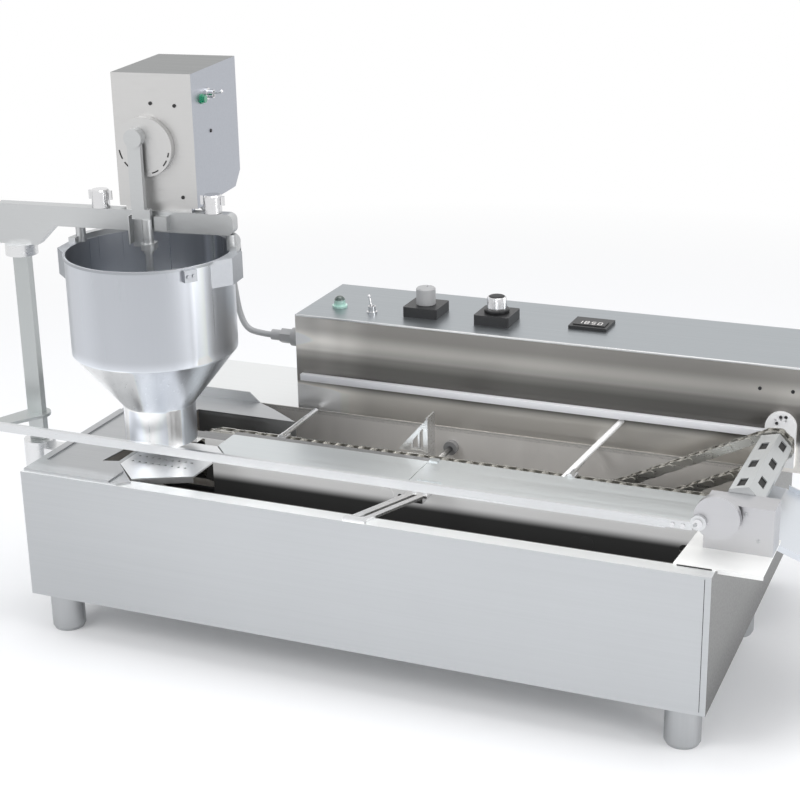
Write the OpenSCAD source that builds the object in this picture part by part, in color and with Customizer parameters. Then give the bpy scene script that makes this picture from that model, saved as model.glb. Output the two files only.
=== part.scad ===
// Automatic ring doughnut fryer: an oil tank with a lengthwise chain conveyor,
// a swinging hopper head at the left and an out-feed drum at the right.
// Lengths are in millimetres. The origin lies on the floor under the middle of the machine.

/* [Body] */
// Length of the tank body
tub_len = 840; // [800:10:920]
// Depth of the body from front to back
body_depth = 460; // [450:5:520]
// Height of the tank body above its underside
tub_h = 162; // [150:2:180]
// Thickness of the stainless sheet
sheet = 1.5; // [1:0.1:2]
// Width of the body's top border at the front
flange_w = 20; // [14:1:26]
// Width of the body's top border at each end
end_w = 18; // [12:1:24]
// Front to back width of the oil tank
tank_w = 291; // [288:1:300]
// Depth of the oil tank
tank_h = 118; // [106:2:125]
// Rounding of the tank's bottom corners
tank_r = 12; // [6:1:20]
// Radius of the heating tube in the tank
heater_r = 4; // [3:0.5:5]
// Distance between the two lanes of a heating loop
heater_span = 40; // [34:1:44]

/* [Legs] */
// Height of the legs
leg_h = 52; // [40:2:90]
// Radius of a leg
leg_r = 20.4; // [14:0.2:26]
// Distance of the leg axes from the front and the ends
leg_inset = 30; // [28:1:60]
// Distance between the front and the back legs
leg_pitch = 274; // [220:5:380]

/* [Decks] */
// Thickness of the deck and cover plates
deck_t = 2; // [1.5:0.1:3]
// Length of the left deck
deck_len = 104; // [98:1:106]
// Length of the drop plate where the doughnuts leave
drop_len = 103; // [90:1:110]
// Height of the lip along the back of the rear deck
lip_h = 13; // [8:1:13]
// Radius of the small holes in the drop plate
drain_r = 1.8; // [1:0.1:2.5]
// Spacing of the small holes in the drop plate
drain_pitch = 9; // [7:0.2:12]
// Length that the right deck stands out past the tank body
deck_over = 49; // [44:1:52]
// Length of the right deck on the tank body
deck_in = 45; // [30:1:45]
// Front to back width of the right deck
deck_right_w = 95; // [88:1:98]
// Height of the apron under the rear deck's front edge
apron_h = 40; // [30:1:50]

/* [Beam] */
// Where the centre beam's cover starts, from the body's left end
beam_x = 187; // [180:1:200]
// Length of the centre beam's cover
beam_len = 608; // [600:1:615]
// Front face of the centre beam, from the body's front
beam_y = 137; // [134:1:140]
// Front to back width of the centre beam
beam_w = 60; // [56:1:61]
// Height of the beam's side skirts
beam_h = 66; // [60:1:75]
// Length of the left beam cover
cover_left = 264; // [220:2:300]

/* [Conveyor] */
// Pitch of the conveyor chain
conv_pitch = 15.875; // [15.875]
// Number of links in each straight run of the conveyor
conv_links = 39; // [37:1:39]
// Teeth of the conveyor's end sprockets
conv_teeth = 12; // [12]
// Teeth of the conveyor's drive sprocket
conv_drive_teeth = 8; // [8]
// Middle of the conveyor chain, from the body's front
conv_y = 211; // [209:1:213]
// Where the tail sprocket lies, from the body's left end
conv_x = 160; // [156:1:164]
// Spacing of the paddles along the conveyor
paddle_pitch = 188; // [150:2:190]
// Radius of a paddle rod
paddle_r = 3.2; // [2.5:0.1:4]
// Distance of the first paddle from the tail sprocket
paddle_first = 89; // [80:1:100]
// Distance of the turning gate from the start of the beam's cover
gate_in = 250; // [240:1:254]
// Width of the turning gate's gusset
gusset_w = 37; // [30:1:40]
// Height of the turning gate's gusset
gusset_h = 43; // [36:1:46]

/* [Drive chain] */
// Pitch of the inclined drive chain
drive_pitch = 12.7; // [12.7]
// Number of links in each straight run of the drive chain
drive_links = 16; // [15:1:17]
// Teeth of both drive chain sprockets
drive_teeth = 8; // [8]
// Middle of the drive chain, in front of the oil tank's back
drive_in = 33; // [30:0.5:34]

/* [Out-feed drum] */
// Height of the drum's axis above the tank rim
drum_up = 43; // [41:0.5:44]
// Distance of the drum's axis past the body's right end
drum_x = 8; // [4:0.5:12]
// Radius of the six-sided drum over its corners
drum_r = 21.5; // [18:0.5:23]
// Length of the drum
drum_len = 168; // [150:1:169]
// Wall of the drum
drum_wall = 1.6; // [1.2:0.1:2.5]
// Radius of the drum shaft
shaft_r = 8; // [7:0.5:9]
// Radius of the journals in the front gear box
journal_r = 5; // [4:0.5:5.5]
// Teeth of the two equal gears in the front gear box
gear_teeth = 17; // [17]
// Module of the gears
gear_mod = 1; // [1]
// Radius of the crank disc
crank_r = 24.5; // [22:0.5:26]
// Distance of the crank pin from the crank's axis
crank_throw = 19; // [14:0.5:19]

/* [Linkage] */
// Middle of the link bar, from the body's front
link_y = 50; // [48:1:52]
// Height of the link bar's middle above the rim
link_up = 32; // [31:1:34]
// Height of the flat link bar
link_w = 10.6; // [8:0.2:12]
// Thickness of the flat link bar
link_t = 5; // [4:0.5:5]
// Length of the post lever between its axes
lever_len = 83.6; // [80:0.2:90]
// Length that the link bar and the chute stand out past the body's ends
overhang = 105; // [105:1:112]

/* [Head] */
// Turn of the whole head about the post at rest, in degrees
head_yaw = 6.5; // [5:0.5:8]
// Distance of the post's axis past the body's left end
post_x = 56; // [54:1:60]
// Distance of the post's axis from the body's front
post_y = 124; // [121:1:126]
// Height of the arm's underside at the post above the rim
post_up = 248; // [246:1:270]
// Width of the post
post_w = 20; // [16:1:24]
// Thickness of the post
post_t = 12; // [10:1:16]
// Length of the arm from the post's axis
arm_len = 283; // [282:1:300]
// Height of the slender part of the arm
arm_h = 25; // [22:1:30]
// Extra height of the arm over the post
arm_drop = 25; // [15:1:30]
// Thickness of the arm
arm_t = 16; // [14:1:18]
// Distance from the post's axis to the hopper's axis along the arm
reach = 179.5; // [178:0.5:182]
// Distance of the hopper's axis in front of the arm's middle
hopper_fwd = 20; // [19.5:0.5:21]

/* [Hopper] */
// Outer radius of the hopper
hopper_r = 100; // [94:1:101]
// Height of the hopper's straight wall
hopper_h = 121; // [105:1:124]
// Height of the hopper's cone
cone_h = 70; // [60:1:74]
// Outer radius of the nozzle
nozzle_r = 44; // [38:0.5:46]
// Height of the nozzle
nozzle_h = 47; // [40:1:48]
// Bore radius of the nozzle
nozzle_bore = 21; // [18:0.5:24]
// Height of the clamp ears beside the hopper's rim
ring_h = 32; // [24:1:34]
// Distance of the clamp ears' outer faces from the hopper's axis
ear_reach = 112; // [108:1:114]
// Distance of the hopper's rim under the arm
rim_drop = 19; // [16:1:22]

/* [Head motor] */
// Distance from the post's axis to the motor housing's left face
motor_in = 138; // [136:1:140]
// Distance of the head's crank axis from the housing's left face
disc_in = 40; // [38:1:42]
// Width of the motor housing
motor_w = 100; // [90:1:110]
// Depth of the motor housing
motor_d = 140; // [130:1:150]
// Height of the motor housing
motor_h = 158; // [150:1:180]
// Radius of the head's crank disc
head_disc_r = 35; // [30:0.5:36]
// Distance of the head's crank pin from the disc's axis
head_throw = 14.4; // [12:0.2:15]

/* [Control box] */
// Where the control box starts, from the body's left end
box_x = 221; // [221:1:230]
// Length that the control box stands out past the body's right end
box_over = 50; // [50:1:55]
// Height of the control box
box_h = 129; // [124:1:140]
// Height of the bright ledge above the rim
ledge_up = 36; // [34:1:42]
// Width of a knob's square base
knob_base = 46; // [40:1:50]
// Radius of the control knobs
knob_r = 12.5; // [10:0.5:15]

/* [Hidden] */
$fn = 64;

// Running gap between pieces that move past each other
gap = 0.3;
// Radial clearance of a shaft in its bore
fit = 0.05;
// Overshoot of a cutting solid past the face that it cuts
cut = 1;
// Depth by which joined pieces of one chain sink into each other
lap = 0.1;

left = -tub_len / 2;
front = -body_depth / 2;
rim = leg_h + tub_h;
deck_top = rim + deck_t;
tank_back = flange_w + tank_w;
tank_floor = rim - tank_h + sheet;

box_end = tub_len + box_over;
box_d = body_depth - tank_back;
box_top = rim + box_h;

// Conveyor loop: chain plates, rollers and the heights of its three axes
conv_plate_h = 7;
conv_roller_r = 5;
conv_inner = 9;
plate_t = 1.5;
conv_r = conv_pitch / (2 * sin(180 / conv_teeth));
conv_drive_r = conv_pitch / (2 * sin(180 / conv_drive_teeth));
conv_z = rim - conv_plate_h - conv_r;
conv_head_x = conv_x + conv_links * conv_pitch;
conv_half = conv_inner / 2 + 2 * plate_t;

// Inclined drive chain between the drum and the conveyor's drive shaft
drive_y = tank_back - drive_in;
drive_plate_h = 5.5;
drive_roller_r = 3.9;
drive_inner = 7.5;
drive_r = drive_pitch / (2 * sin(180 / drive_teeth));
drive_run = drive_links * drive_pitch;
axis_x = tub_len + drum_x;
axis_z = rim + drum_up;
drive_z = conv_z - conv_r + conv_drive_r;
drive_slope = asin((axis_z - drive_z) / drive_run);
drive_x = axis_x - drive_run * cos(drive_slope);

// Front gear box between the drum and the crank disc
gear_pitch_r = gear_mod * gear_teeth / 2;
crank_x = axis_x - 2 * gear_pitch_r;
gear_box_y = 66;
gear_box_d = 33;
gear_box_x = axis_x - 33;
gear_box_w = 74;
gear_box_h = 53;
gear_w = 10;
crank_t = 9;
crank_angle = 198;
drum_front = gear_box_y + gear_box_d + 2 * gap;

// Stub shafts of the chain wheels and the turning gate's shaft
stub_r = 6;
gate_r = 3.5;
gate_x = beam_x + gate_in;
gate_z = conv_z + 14;
base_h = 13;

// Link bar and post lever
link_z = rim + link_up;
link_front = link_y - link_t / 2;
crank_face = link_y + link_t / 2 + gap;
lever_t = 4;
lever_top = link_z - link_w / 2 - gap;
lever_eye_r = 9;
lever_angle = 180 + asin((post_y - link_y) / lever_len) - head_yaw;
tip_x = -post_x - sqrt(pow(lever_len, 2) - pow(post_y - link_y, 2));
pin_x = crank_x + crank_throw * cos(crank_angle);
pin_z = axis_z + crank_throw * sin(crank_angle);

// Heights on the head
arm_low = rim + post_up;
arm_under = arm_low + arm_drop;
arm_top = arm_under + arm_h;
ring_top = arm_under - rim_drop;
hopper_rim = ring_top;
cone_top = hopper_rim - hopper_h;
nozzle_top = cone_top - cone_h;
nozzle_low = nozzle_top - nozzle_h;
hub_low = rim - 64;
hub_top = rim - 9;
collar_h = 14;
shell_z = arm_top + 4;
shell_x = motor_in;
shell_y = -2.5;
disc_x = motor_in + disc_in;
disc_z = shell_z + 73;
disc_t = 9;
pin_turn = 122;
boss_x = disc_x + head_throw * cos(pin_turn);
boss_z = disc_z + head_throw * sin(pin_turn);
clamp_x = [shell_x - 26, shell_x + motor_w + 18];
// Plunger socket and the bushing that guides it
socket_r = 6;
socket_top = arm_top - 7;
guide_h = 8;

// Parts on the control box: [x from the body's left end, y from its front]
lamp_at = [262, 361];
toggle_at = [312, 351];
heat_at = [379, 371];
speed_at = [476, 368];
display_at = [569, 370];
gland_at = [tank_back + 19, 306];

// Route of the cable from the control box to the head, in the body's own frame
CABLE = [
    [190, gland_at[0], gland_at[1]], [165, gland_at[0], gland_at[1]],
    [142, 331, 311], [130, 332, 332], [124, 330, 376],
    [121, 322, 425], [120, 300, 462], [120, 272, 484], [120, 257, 497], [120, 255, 505]
];
cable_r = 4;
cable_sides = 10;
cable_steps = 4;

// Places its children in the body's frame: left end, front face and floor at zero.
module body_at(x = 0, y = 0, z = 0) {
    translate([left + x, front + y, z]) children();
}

// Places its children in the head's frame: post axis at zero, arm along +X.
module head_at(x = 0, y = 0, z = 0) {
    translate([left - post_x, front + post_y, 0])
        rotate([0, 0, head_yaw])
            translate([x, y, z]) children();
}

// A cylinder that runs from the local origin along +Y.
module rod_y(r, len) {
    rotate([-90, 0, 0]) cylinder(r = r, h = len);
}

// A cylinder that runs from the local origin along +X.
module rod_x(r, len) {
    rotate([0, 90, 0]) cylinder(r = r, h = len);
}

// An outline drawn in X and Z, made thick along +Y from the local origin.
module extrude_y(len) {
    translate([0, len, 0]) rotate([90, 0, 0]) linear_extrude(len) children();
}

// An outline drawn in Y and Z, made long along +X from the local origin.
module extrude_x(len) {
    rotate([90, 0, 90]) linear_extrude(len) children();
}

// A flat rectangle with round corners, its lower left corner at the origin.
module round_rect(w, h, r) {
    translate([r, 0]) square([w - 2 * r, h]);
    translate([0, r]) square([w, h - 2 * r]);
    for (x = [r, w - r], y = [r, h - r]) translate([x, y]) circle(r);
}

// A flat bar with round ends between two points of the outline.
module stadium(len, r) {
    circle(r, $fn = 24);
    translate([0, -r]) square([len, 2 * r]);
    translate([len, 0]) circle(r, $fn = 24);
}

// Centre of roller i of a chain loop whose first axis is the origin.
function loop_point(i, links, teeth, pitch) =
    let (half = teeth / 2, r = pitch / (2 * sin(180 / teeth)), step = 360 / teeth)
    i < links ? [i * pitch, r]
    : i < links + half
        ? [links * pitch + r * cos(90 - (i - links) * step), r * sin(90 - (i - links) * step)]
    : i < 2 * links + half ? [(2 * links + half - i) * pitch, -r]
    : [r * cos(270 - (i - 2 * links - half) * step), r * sin(270 - (i - 2 * links - half) * step)];

// A closed roller chain round two equal sprockets, its links along X and Z, centred on Y.
module chain_loop(links, teeth, pitch, half_h, roller_r, inner) {
    total = 2 * links + teeth;
    for (i = [0:total - 1]) {
        a = loop_point(i, links, teeth, pitch);
        b = loop_point((i + 1) % total, links, teeth, pitch);
        outer = i % 2;
        out = outer * (plate_t - lap);
        translate([a[0], 0, a[1]])
            rotate([0, -atan2(b[1] - a[1], b[0] - a[0]), 0])
                for (y = [inner / 2 + out, -inner / 2 - out - plate_t])
                    translate([0, y, 0]) extrude_y(plate_t) stadium(pitch, half_h - outer);
        translate([a[0], -inner / 2 - lap, a[1]]) rod_y(roller_r, inner + 2 * lap, $fn = 24);
    }
}

// A sprocket centred on Y whose tips stay just under the chain's rollers.
module sprocket(teeth, pitch, roller_r, thick, bore) {
    tip = pitch / (2 * sin(180 / teeth)) - roller_r - gap;
    root = tip * 0.84;
    wide = root * sin(180 / teeth);
    translate([0, -thick / 2, 0])
        extrude_y(thick)
            difference() {
                union() {
                    circle(root);
                    for (i = [0:teeth - 1])
                        rotate(i * 360 / teeth)
                            polygon([
                                [root * 0.9, -wide * 0.9], [tip, -wide * 0.4],
                                [tip, wide * 0.4], [root * 0.9, wide * 0.9]
                            ]);
                }
                circle(bore);
            }
}

// A spur gear with straight-flanked teeth, thick along +Y from the local origin.
module gear(thick, bore) {
    root = gear_pitch_r - 1.25 * gear_mod;
    tip = gear_pitch_r + 0.9 * gear_mod;
    root_w = 1.9 * gear_mod;
    tip_w = 0.6 * gear_mod;
    extrude_y(thick)
        difference() {
            union() {
                circle(root);
                for (i = [0:gear_teeth - 1])
                    rotate(i * 360 / gear_teeth)
                        polygon([
                            [root * 0.95, -root_w / 2], [tip, -tip_w / 2],
                            [tip, tip_w / 2], [root * 0.95, root_w / 2]
                        ]);
            }
            circle(bore);
        }
}

module body_shell() {
    color([0.80, 0.81, 0.82]) difference() {
        body_at(0, 0, leg_h) cube([tub_len, body_depth, tub_h]);
        body_at(sheet, sheet, leg_h + sheet)
            cube([tub_len - 2 * sheet, body_depth - 2 * sheet, tub_h - 2 * sheet]);
        body_at(end_w, flange_w, rim - sheet - cut)
            cube([tub_len - 2 * end_w, tank_w, sheet + 2 * cut]);
    }
}

module legs() {
    foot_h = 4;
    color([0.62, 0.62, 0.60])
        for (x = [leg_inset, tub_len - leg_inset], y = [leg_inset, leg_inset + leg_pitch])
            body_at(x, y) {
                cylinder(r1 = leg_r - 2, r2 = leg_r, h = foot_h);
                translate([0, 0, foot_h]) cylinder(r = leg_r, h = leg_h - foot_h);
            }
}

// The tank's cross section, shrunk by the given wall.
module tank_profile(wall) {
    w = tank_w - 2 * wall;
    r = tank_r - wall;
    translate([flange_w + wall, rim - tank_h + wall]) {
        translate([0, r]) square([w, tank_h - wall - r + (wall > 0 ? cut : 0)]);
        translate([r, 0]) square([w - 2 * r, r]);
        for (y = [r, w - r]) translate([y, r]) circle(r);
    }
}

module oil_tank() {
    color([0.55, 0.55, 0.54]) difference() {
        body_at(end_w) extrude_x(tub_len - 2 * end_w) tank_profile(0);
        body_at(end_w + sheet) extrude_x(tub_len - 2 * end_w - 2 * sheet) tank_profile(sheet);
    }
}

// A half turn of heating tube round the local origin, on its +X side.
module heater_bend(r) {
    size = r + heater_r + cut;
    difference() {
        rotate_extrude() translate([r, 0]) circle(heater_r);
        translate([-size, -size, -size]) cube([size, 2 * size, 2 * size]);
    }
}

module heating_element() {
    z = tank_floor + 14;
    ends = [end_w + 42, tub_len - end_w - 42];
    strap_in = 120;
    bend = heater_span / 2;
    color([0.30, 0.30, 0.31])
        for (y = [flange_w + 28, tank_back - 28 - heater_span]) {
            for (lane = [0, heater_span])
                body_at(ends[0], y + lane, z) rod_x(heater_r, ends[1] - ends[0]);
            body_at(ends[1], y + bend, z) heater_bend(bend);
            body_at(ends[0], y + bend, z) rotate([0, 0, 180]) heater_bend(bend);
            for (x = [ends[0] + strap_in, ends[1] - strap_in])
                body_at(x, y, tank_floor) cube([heater_r, heater_span, z - tank_floor]);
        }
}

module left_deck() {
    color([0.60, 0.61, 0.62]) {
        body_at(0, 0, rim) linear_extrude(deck_t) difference() {
            polygon([
                [4, 2], [132, 2], [145, 14], [deck_len, 58],
                [deck_len, 222], [4, 222]
            ]);
            polygon([[78, 60], [deck_len - 6, 66], [deck_len - 6, 106], [84, 112]]);
        }
        body_at(4, 2, deck_top) cube([118, 34, deck_t]);
        body_at(4, 36, deck_top) cube([10, 186, deck_t]);
        body_at(deck_len - 3, 102, deck_top) cylinder(r = 2.8, h = 2, $fn = 24);
    }
}

module drop_plate() {
    right = deck_len + drop_len;
    rows = floor((drop_len - 16) / drain_pitch);
    color([0.66, 0.67, 0.68]) {
        body_at(0, 0, rim) linear_extrude(deck_t) difference() {
            polygon([
                [deck_len, 58.6], [141, 22], [right, 53], [right, 129 - gap],
                [beam_x - gap, 150], [deck_len, 150]
            ]);
            for (i = [0:rows - 1], j = [0:2])
                translate([deck_len + 9 + i * drain_pitch, 73 + j * 17]) circle(drain_r);
        }
        body_at(141, 22, rim - 6) rotate(atan2(31, right - 141))
            cube([sqrt(pow(right - 141, 2) + pow(31, 2)), deck_t, 6]);
    }
}

module rear_deck() {
    front_y = tank_back - 51;
    tip = beam_x + 54;
    color([0.58, 0.59, 0.60]) {
        body_at(0, 0, rim) linear_extrude(deck_t)
            polygon([
                [4, 222], [100, 222], [100, front_y], [tip, front_y],
                [tip - 47, tank_back - 18], [tip - 74, tank_back - 2], [4, tank_back - 2]
            ]);
        body_at(100, front_y, rim - apron_h) cube([tip - 100, deck_t, apron_h]);
        body_at(0, tank_back - 2, 0) extrude_y(2)
            polygon([
                [4, rim], [165, rim], [165, deck_top], [150, deck_top + lip_h],
                [4, deck_top + lip_h]
            ]);
    }
}

// Bores for the shafts that cross the beam's back skirt
module skirt_bores(extra) {
    len = beam_y + beam_w + cut;
    for (x = [conv_x, conv_head_x]) body_at(x, 0, conv_z) rod_y(stub_r + extra, len);
    body_at(drive_x, 0, drive_z) rod_y(stub_r + extra, len);
    body_at(gate_x, 0, gate_z) rod_y(gate_r + extra, len);
}

module beam_channel() {
    back = beam_y + beam_w;
    tail = conv_x - 16;
    color([0.52, 0.53, 0.54]) difference() {
        union() {
            body_at(beam_x, beam_y, rim - beam_h) cube([beam_len - 2, sheet, beam_h]);
            body_at(beam_x, beam_y, rim - sheet) cube([beam_len - 2, beam_w, sheet]);
            body_at(tail, back - sheet, rim - beam_h)
                cube([beam_x + beam_len - 2 - tail, sheet, beam_h]);
            body_at(tail, 175, rim - sheet) cube([beam_x - tail, back - 175, sheet]);
            body_at(deck_len - 8, 176, rim - 8) cube([tail - deck_len + 8, 19, 8]);
            body_at(beam_x + beam_len - 2, 150, rim - 8)
                cube([tub_len - end_w - sheet - beam_x - beam_len + 2, 35, 8]);
            body_at(beam_x, back - 3.7, rim)
                cube([cover_left, conv_y - conv_half - gap - back + 3.7, deck_t]);
            for (x = [conv_x, conv_head_x]) body_at(x, back - 10, conv_z) rod_y(11, 10);
            body_at(drive_x, back - 10, drive_z) rod_y(11, 10);
        }
        skirt_bores(fit);
    }
}

module beam_covers() {
    seam = 0.6;
    x1 = beam_x + cover_left;
    x2 = beam_x + beam_len;
    y0 = beam_y - 7;
    y1 = conv_y - conv_half - 0.5;
    color([0.78, 0.82, 0.87]) {
        body_at(0, 0, rim) linear_extrude(deck_t) {
            polygon([
                [beam_x, y0 + 23], [beam_x + 21, y0], [x1, y0],
                [x1, beam_y + beam_w - 4], [beam_x, beam_y + beam_w - 4]
            ]);
            translate([x1 + seam, y0]) square([x2 - x1 - seam, y1 - y0]);
        }
        body_at(x1 + 1, y1 - 11, deck_top) cube([11, 10, 1.5]);
        body_at(x1, 0, deck_top) linear_extrude(1.5)
            polygon([[10, y0 + 3], [40, y0 + 3], [24, y0 + 20]]);
    }
}

module cross_bracket() {
    thick = 3;
    end_y = beam_y - 47;
    color([0.86, 0.87, 0.88]) {
        body_at(0, 0, rim) linear_extrude(thick) {
            polygon([[426, 2], [436, 2], [474, end_y + 2], [464, end_y + 2]]);
            polygon([[441, 2], [449, 2], [487, end_y + 2], [479, end_y + 2]]);
            translate([462, end_y]) square([28, beam_y - 7 - end_y]);
            translate([424, 2]) square([27, 9]);
        }
        body_at(464, end_y + 2, rim - 8) cube([20, beam_y - end_y - 2, 8]);
        for (x = [471, 484]) body_at(x, end_y + 10, rim + thick) cylinder(r = 3, h = 2.5, $fn = 24);
    }
}

module right_deck() {
    x = tub_len - deck_in;
    y = flange_w - 2;
    color([0.90, 0.91, 0.92]) {
        body_at(0, 0, rim) linear_extrude(deck_t)
            polygon([
                [x, y], [tub_len + deck_over, y],
                [tub_len + deck_over, y + deck_right_w], [x + 6, y + deck_right_w]
            ]);
        body_at(tub_len + 2, y, rim - 3) cube([deck_over - 2, deck_t, 3]);
    }
}

module front_gear_box() {
    wall = 2;
    color([0.88, 0.89, 0.91]) difference() {
        union() {
            body_at(gear_box_x, gear_box_y, deck_top)
                cube([gear_box_w, gear_box_d, gear_box_h]);
            body_at(crank_x, gear_box_y - 1.5, axis_z) rod_y(9, 1.5);
        }
        body_at(gear_box_x + wall, gear_box_y + wall, deck_top - cut)
            cube([gear_box_w - 2 * wall, gear_box_d - 2 * wall, gear_box_h - 1 + cut]);
        for (x = [axis_x, crank_x])
            body_at(x, gear_box_y - 3, axis_z) rod_y(journal_r + fit, gear_box_d + 6);
    }
}

module rear_bearing() {
    dome_r = 18;
    dome_up = 14;
    t = 7;
    color([0.90, 0.90, 0.91]) difference() {
        union() {
            body_at(axis_x, tank_back - t, 0) extrude_y(t) {
                translate([-dome_r, rim + 8]) square([2 * dome_r, drum_up + dome_up - 8]);
                translate([0, axis_z + dome_up]) circle(dome_r);
            }
            body_at(drive_x, tank_back - sheet - 8, drive_z) rod_y(13, 8);
            body_at(gate_x, tank_back - sheet - 8, gate_z) rod_y(9, 8);
        }
        body_at(axis_x, 0, axis_z) rod_y(shaft_r + fit, body_depth);
        body_at(drive_x, 0, drive_z) rod_y(stub_r + fit, tank_back - 4);
        body_at(gate_x, 0, gate_z) rod_y(gate_r + fit, tank_back - 4);
        for (a = [60, 90, 120])
            body_at(axis_x + 12 * cos(a), tank_back - t - cut, axis_z + dome_up + 10 * sin(a))
                rod_y(1.6, 4, $fn = 24);
    }
}

module conveyor_chain() {
    color([0.70, 0.70, 0.68])
        body_at(conv_x, conv_y, conv_z)
            chain_loop(conv_links, conv_teeth, conv_pitch, conv_plate_h, conv_roller_r, conv_inner);
}

// Paddles stand on the chain's upper run and reach across the back lane.
module paddle_rods() {
    foot_w = 12;
    rod_end = tank_back - 6;
    color([0.88, 0.89, 0.90])
        for (i = [0, 2]) {
            x = conv_x + paddle_first + i * paddle_pitch;
            body_at(x - foot_w / 2, conv_y - conv_half, rim) cube([foot_w, 2 * conv_half, 3]);
            body_at(x, conv_y - conv_half, rim + paddle_r)
                rod_y(paddle_r, rod_end - conv_y + conv_half);
        }
}

module drive_chain() {
    color([0.55, 0.54, 0.50])
        body_at(drive_x, drive_y, drive_z)
            rotate([0, -drive_slope, 0])
                chain_loop(drive_links, drive_teeth, drive_pitch, drive_plate_h,
                    drive_roller_r, drive_inner);
}

module gear_motor() {
    y0 = tank_back + sheet + 4;
    color([0.35, 0.36, 0.38]) difference() {
        union() {
            body_at(axis_x - 32, y0, axis_z - 32) cube([64, 56, 64]);
            body_at(axis_x - 32 - 118, y0 + 28, axis_z) rod_x(24, 118);
            body_at(axis_x - 32, y0 + 6, rim + sheet) cube([40, 44, axis_z - 32 - rim - sheet]);
        }
        body_at(axis_x, y0 - cut, axis_z) rod_y(shaft_r + fit, 50);
    }
}

module out_chute() {
    top = [axis_x + 18, rim - 2];
    tip = [tub_len + overhang, rim - 31.5];
    y0 = 18 + deck_right_w + 0.5;
    y1 = drum_front + drum_len - 2;
    lip = 5;
    color([0.75, 0.79, 0.82]) {
        body_at(0, y0, 0) extrude_y(y1 - y0)
            polygon([
                [tub_len, rim - 26], [tub_len + 2, rim - 26], [tub_len + 2, rim - 3],
                [top[0] - 0.6, top[1] - 2.2], [tip[0], tip[1] - 2], [tip[0], tip[1]],
                top, [tub_len, rim + 1]
            ]);
        for (y = [y0, y1 - 2])
            body_at(0, y, 0) extrude_y(2)
                polygon([
                    [top[0] + 3, top[1] - 1.6], tip,
                    [tip[0], tip[1] + lip], [top[0] + 3, top[1] + lip]
                ]);
    }
}

module control_box() {
    color([0.66, 0.64, 0.62]) difference() {
        body_at(box_x, tank_back, rim) cube([box_end - box_x, box_d, box_h]);
        body_at(box_x + sheet, tank_back + sheet, rim + sheet)
            cube([box_end - box_x - 2 * sheet, box_d - 2 * sheet, box_h - 2 * sheet]);
        body_at(axis_x, tank_back - cut, axis_z) rod_y(shaft_r + 1, sheet + 2 * cut);
    }
}

module ledge() {
    depth = 8;
    right = axis_x - 30;
    color([0.92, 0.92, 0.91])
        body_at(0, 0, rim + ledge_up)
            linear_extrude(13)
                polygon([
                    [box_x + 4, tank_back], [282, tank_back - depth],
                    [right, tank_back - depth], [right, tank_back]
                ]);
}

module knob_bases() {
    color([0.04, 0.04, 0.04]) difference() {
        for (p = [heat_at, speed_at])
            body_at(p[0] - knob_base / 2, p[1] - knob_base / 2, box_top)
                linear_extrude(base_h) round_rect(knob_base, knob_base, 2);
        for (p = [heat_at, speed_at])
            body_at(p[0], p[1], box_top + 3) cylinder(r = 4 + fit, h = 11);
    }
}

module control_lamp() {
    color([0.15, 0.65, 0.25])
        body_at(lamp_at[0], lamp_at[1], box_top) {
            cylinder(r = 10, h = 3);
            translate([0, 0, 3]) cylinder(r = 7.5, h = 5);
            translate([0, 0, 8]) intersection() {
                sphere(r = 7.5, $fn = 48);
                cylinder(r = 8, h = 8);
            }
        }
}

module display() {
    color([0.04, 0.04, 0.05])
        body_at(display_at[0], display_at[1], box_top) {
            cube([49, 40, 4]);
            translate([4, 6, 4]) cube([41, 20, 1.2]);
        }
}

// The threaded collar of a toggle switch, standing on the local origin along +Z.
module toggle_collar() {
    difference() {
        union() {
            cylinder(r = 7, h = 2);
            translate([0, 0, 2]) cylinder(r = 5, h = 7);
        }
        translate([0, 0, 1]) cylinder(r = 3.2 + gap, h = 10);
        translate([0, -6, 5]) rod_y(1 + fit, 12);
    }
}

// The lever of a toggle switch, pivoting 5 mm above the local origin.
module toggle_lever(len, turn) {
    translate([0, 0, 5]) rotate([0, turn, 0]) {
        sphere(r = 3.2, $fn = 32);
        translate([0, -4.5, 0]) rod_y(1, 9);
        cylinder(r = 1.5, h = len - 3, $fn = 32);
        translate([0, 0, len - 3]) sphere(r = 2.3, $fn = 32);
    }
}

module box_bush() {
    color([0.70, 0.70, 0.70]) body_at(toggle_at[0], toggle_at[1], box_top) toggle_collar();
}

module box_toggle() {
    color([0.75, 0.75, 0.75])
        body_at(toggle_at[0], toggle_at[1], box_top) toggle_lever(20, -12);
}

module box_gland() {
    color([0.75, 0.75, 0.74]) difference() {
        body_at(box_x - 43, gland_at[0], gland_at[1]) {
            rod_x(cable_r + 3, 14);
            translate([14, 0, 0]) rod_x(10, 16, $fn = 6);
            translate([30, 0, 0]) rod_x(12, 13);
        }
        body_at(box_x - 44, gland_at[0], gland_at[1]) rod_x(cable_r + gap, 22);
    }
}

// A point of the smooth curve through four route points.
function spline(a, b, c, d, t) =
    0.5 * (2 * b + (c - a) * t + (2 * a - 5 * b + 4 * c - d) * t * t
        + (3 * b - a - 3 * c + d) * t * t * t);

function unit(v) = v / norm(v);

// The cable's centre line through its route points
cable_last = len(CABLE) - 1;
cable_path = [
    for (i = [0:cable_last - 1], j = [0:cable_steps - 1])
        spline(CABLE[max(i - 1, 0)], CABLE[i], CABLE[i + 1], CABLE[min(i + 2, cable_last)],
            j / cable_steps),
    CABLE[cable_last]
];

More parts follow.
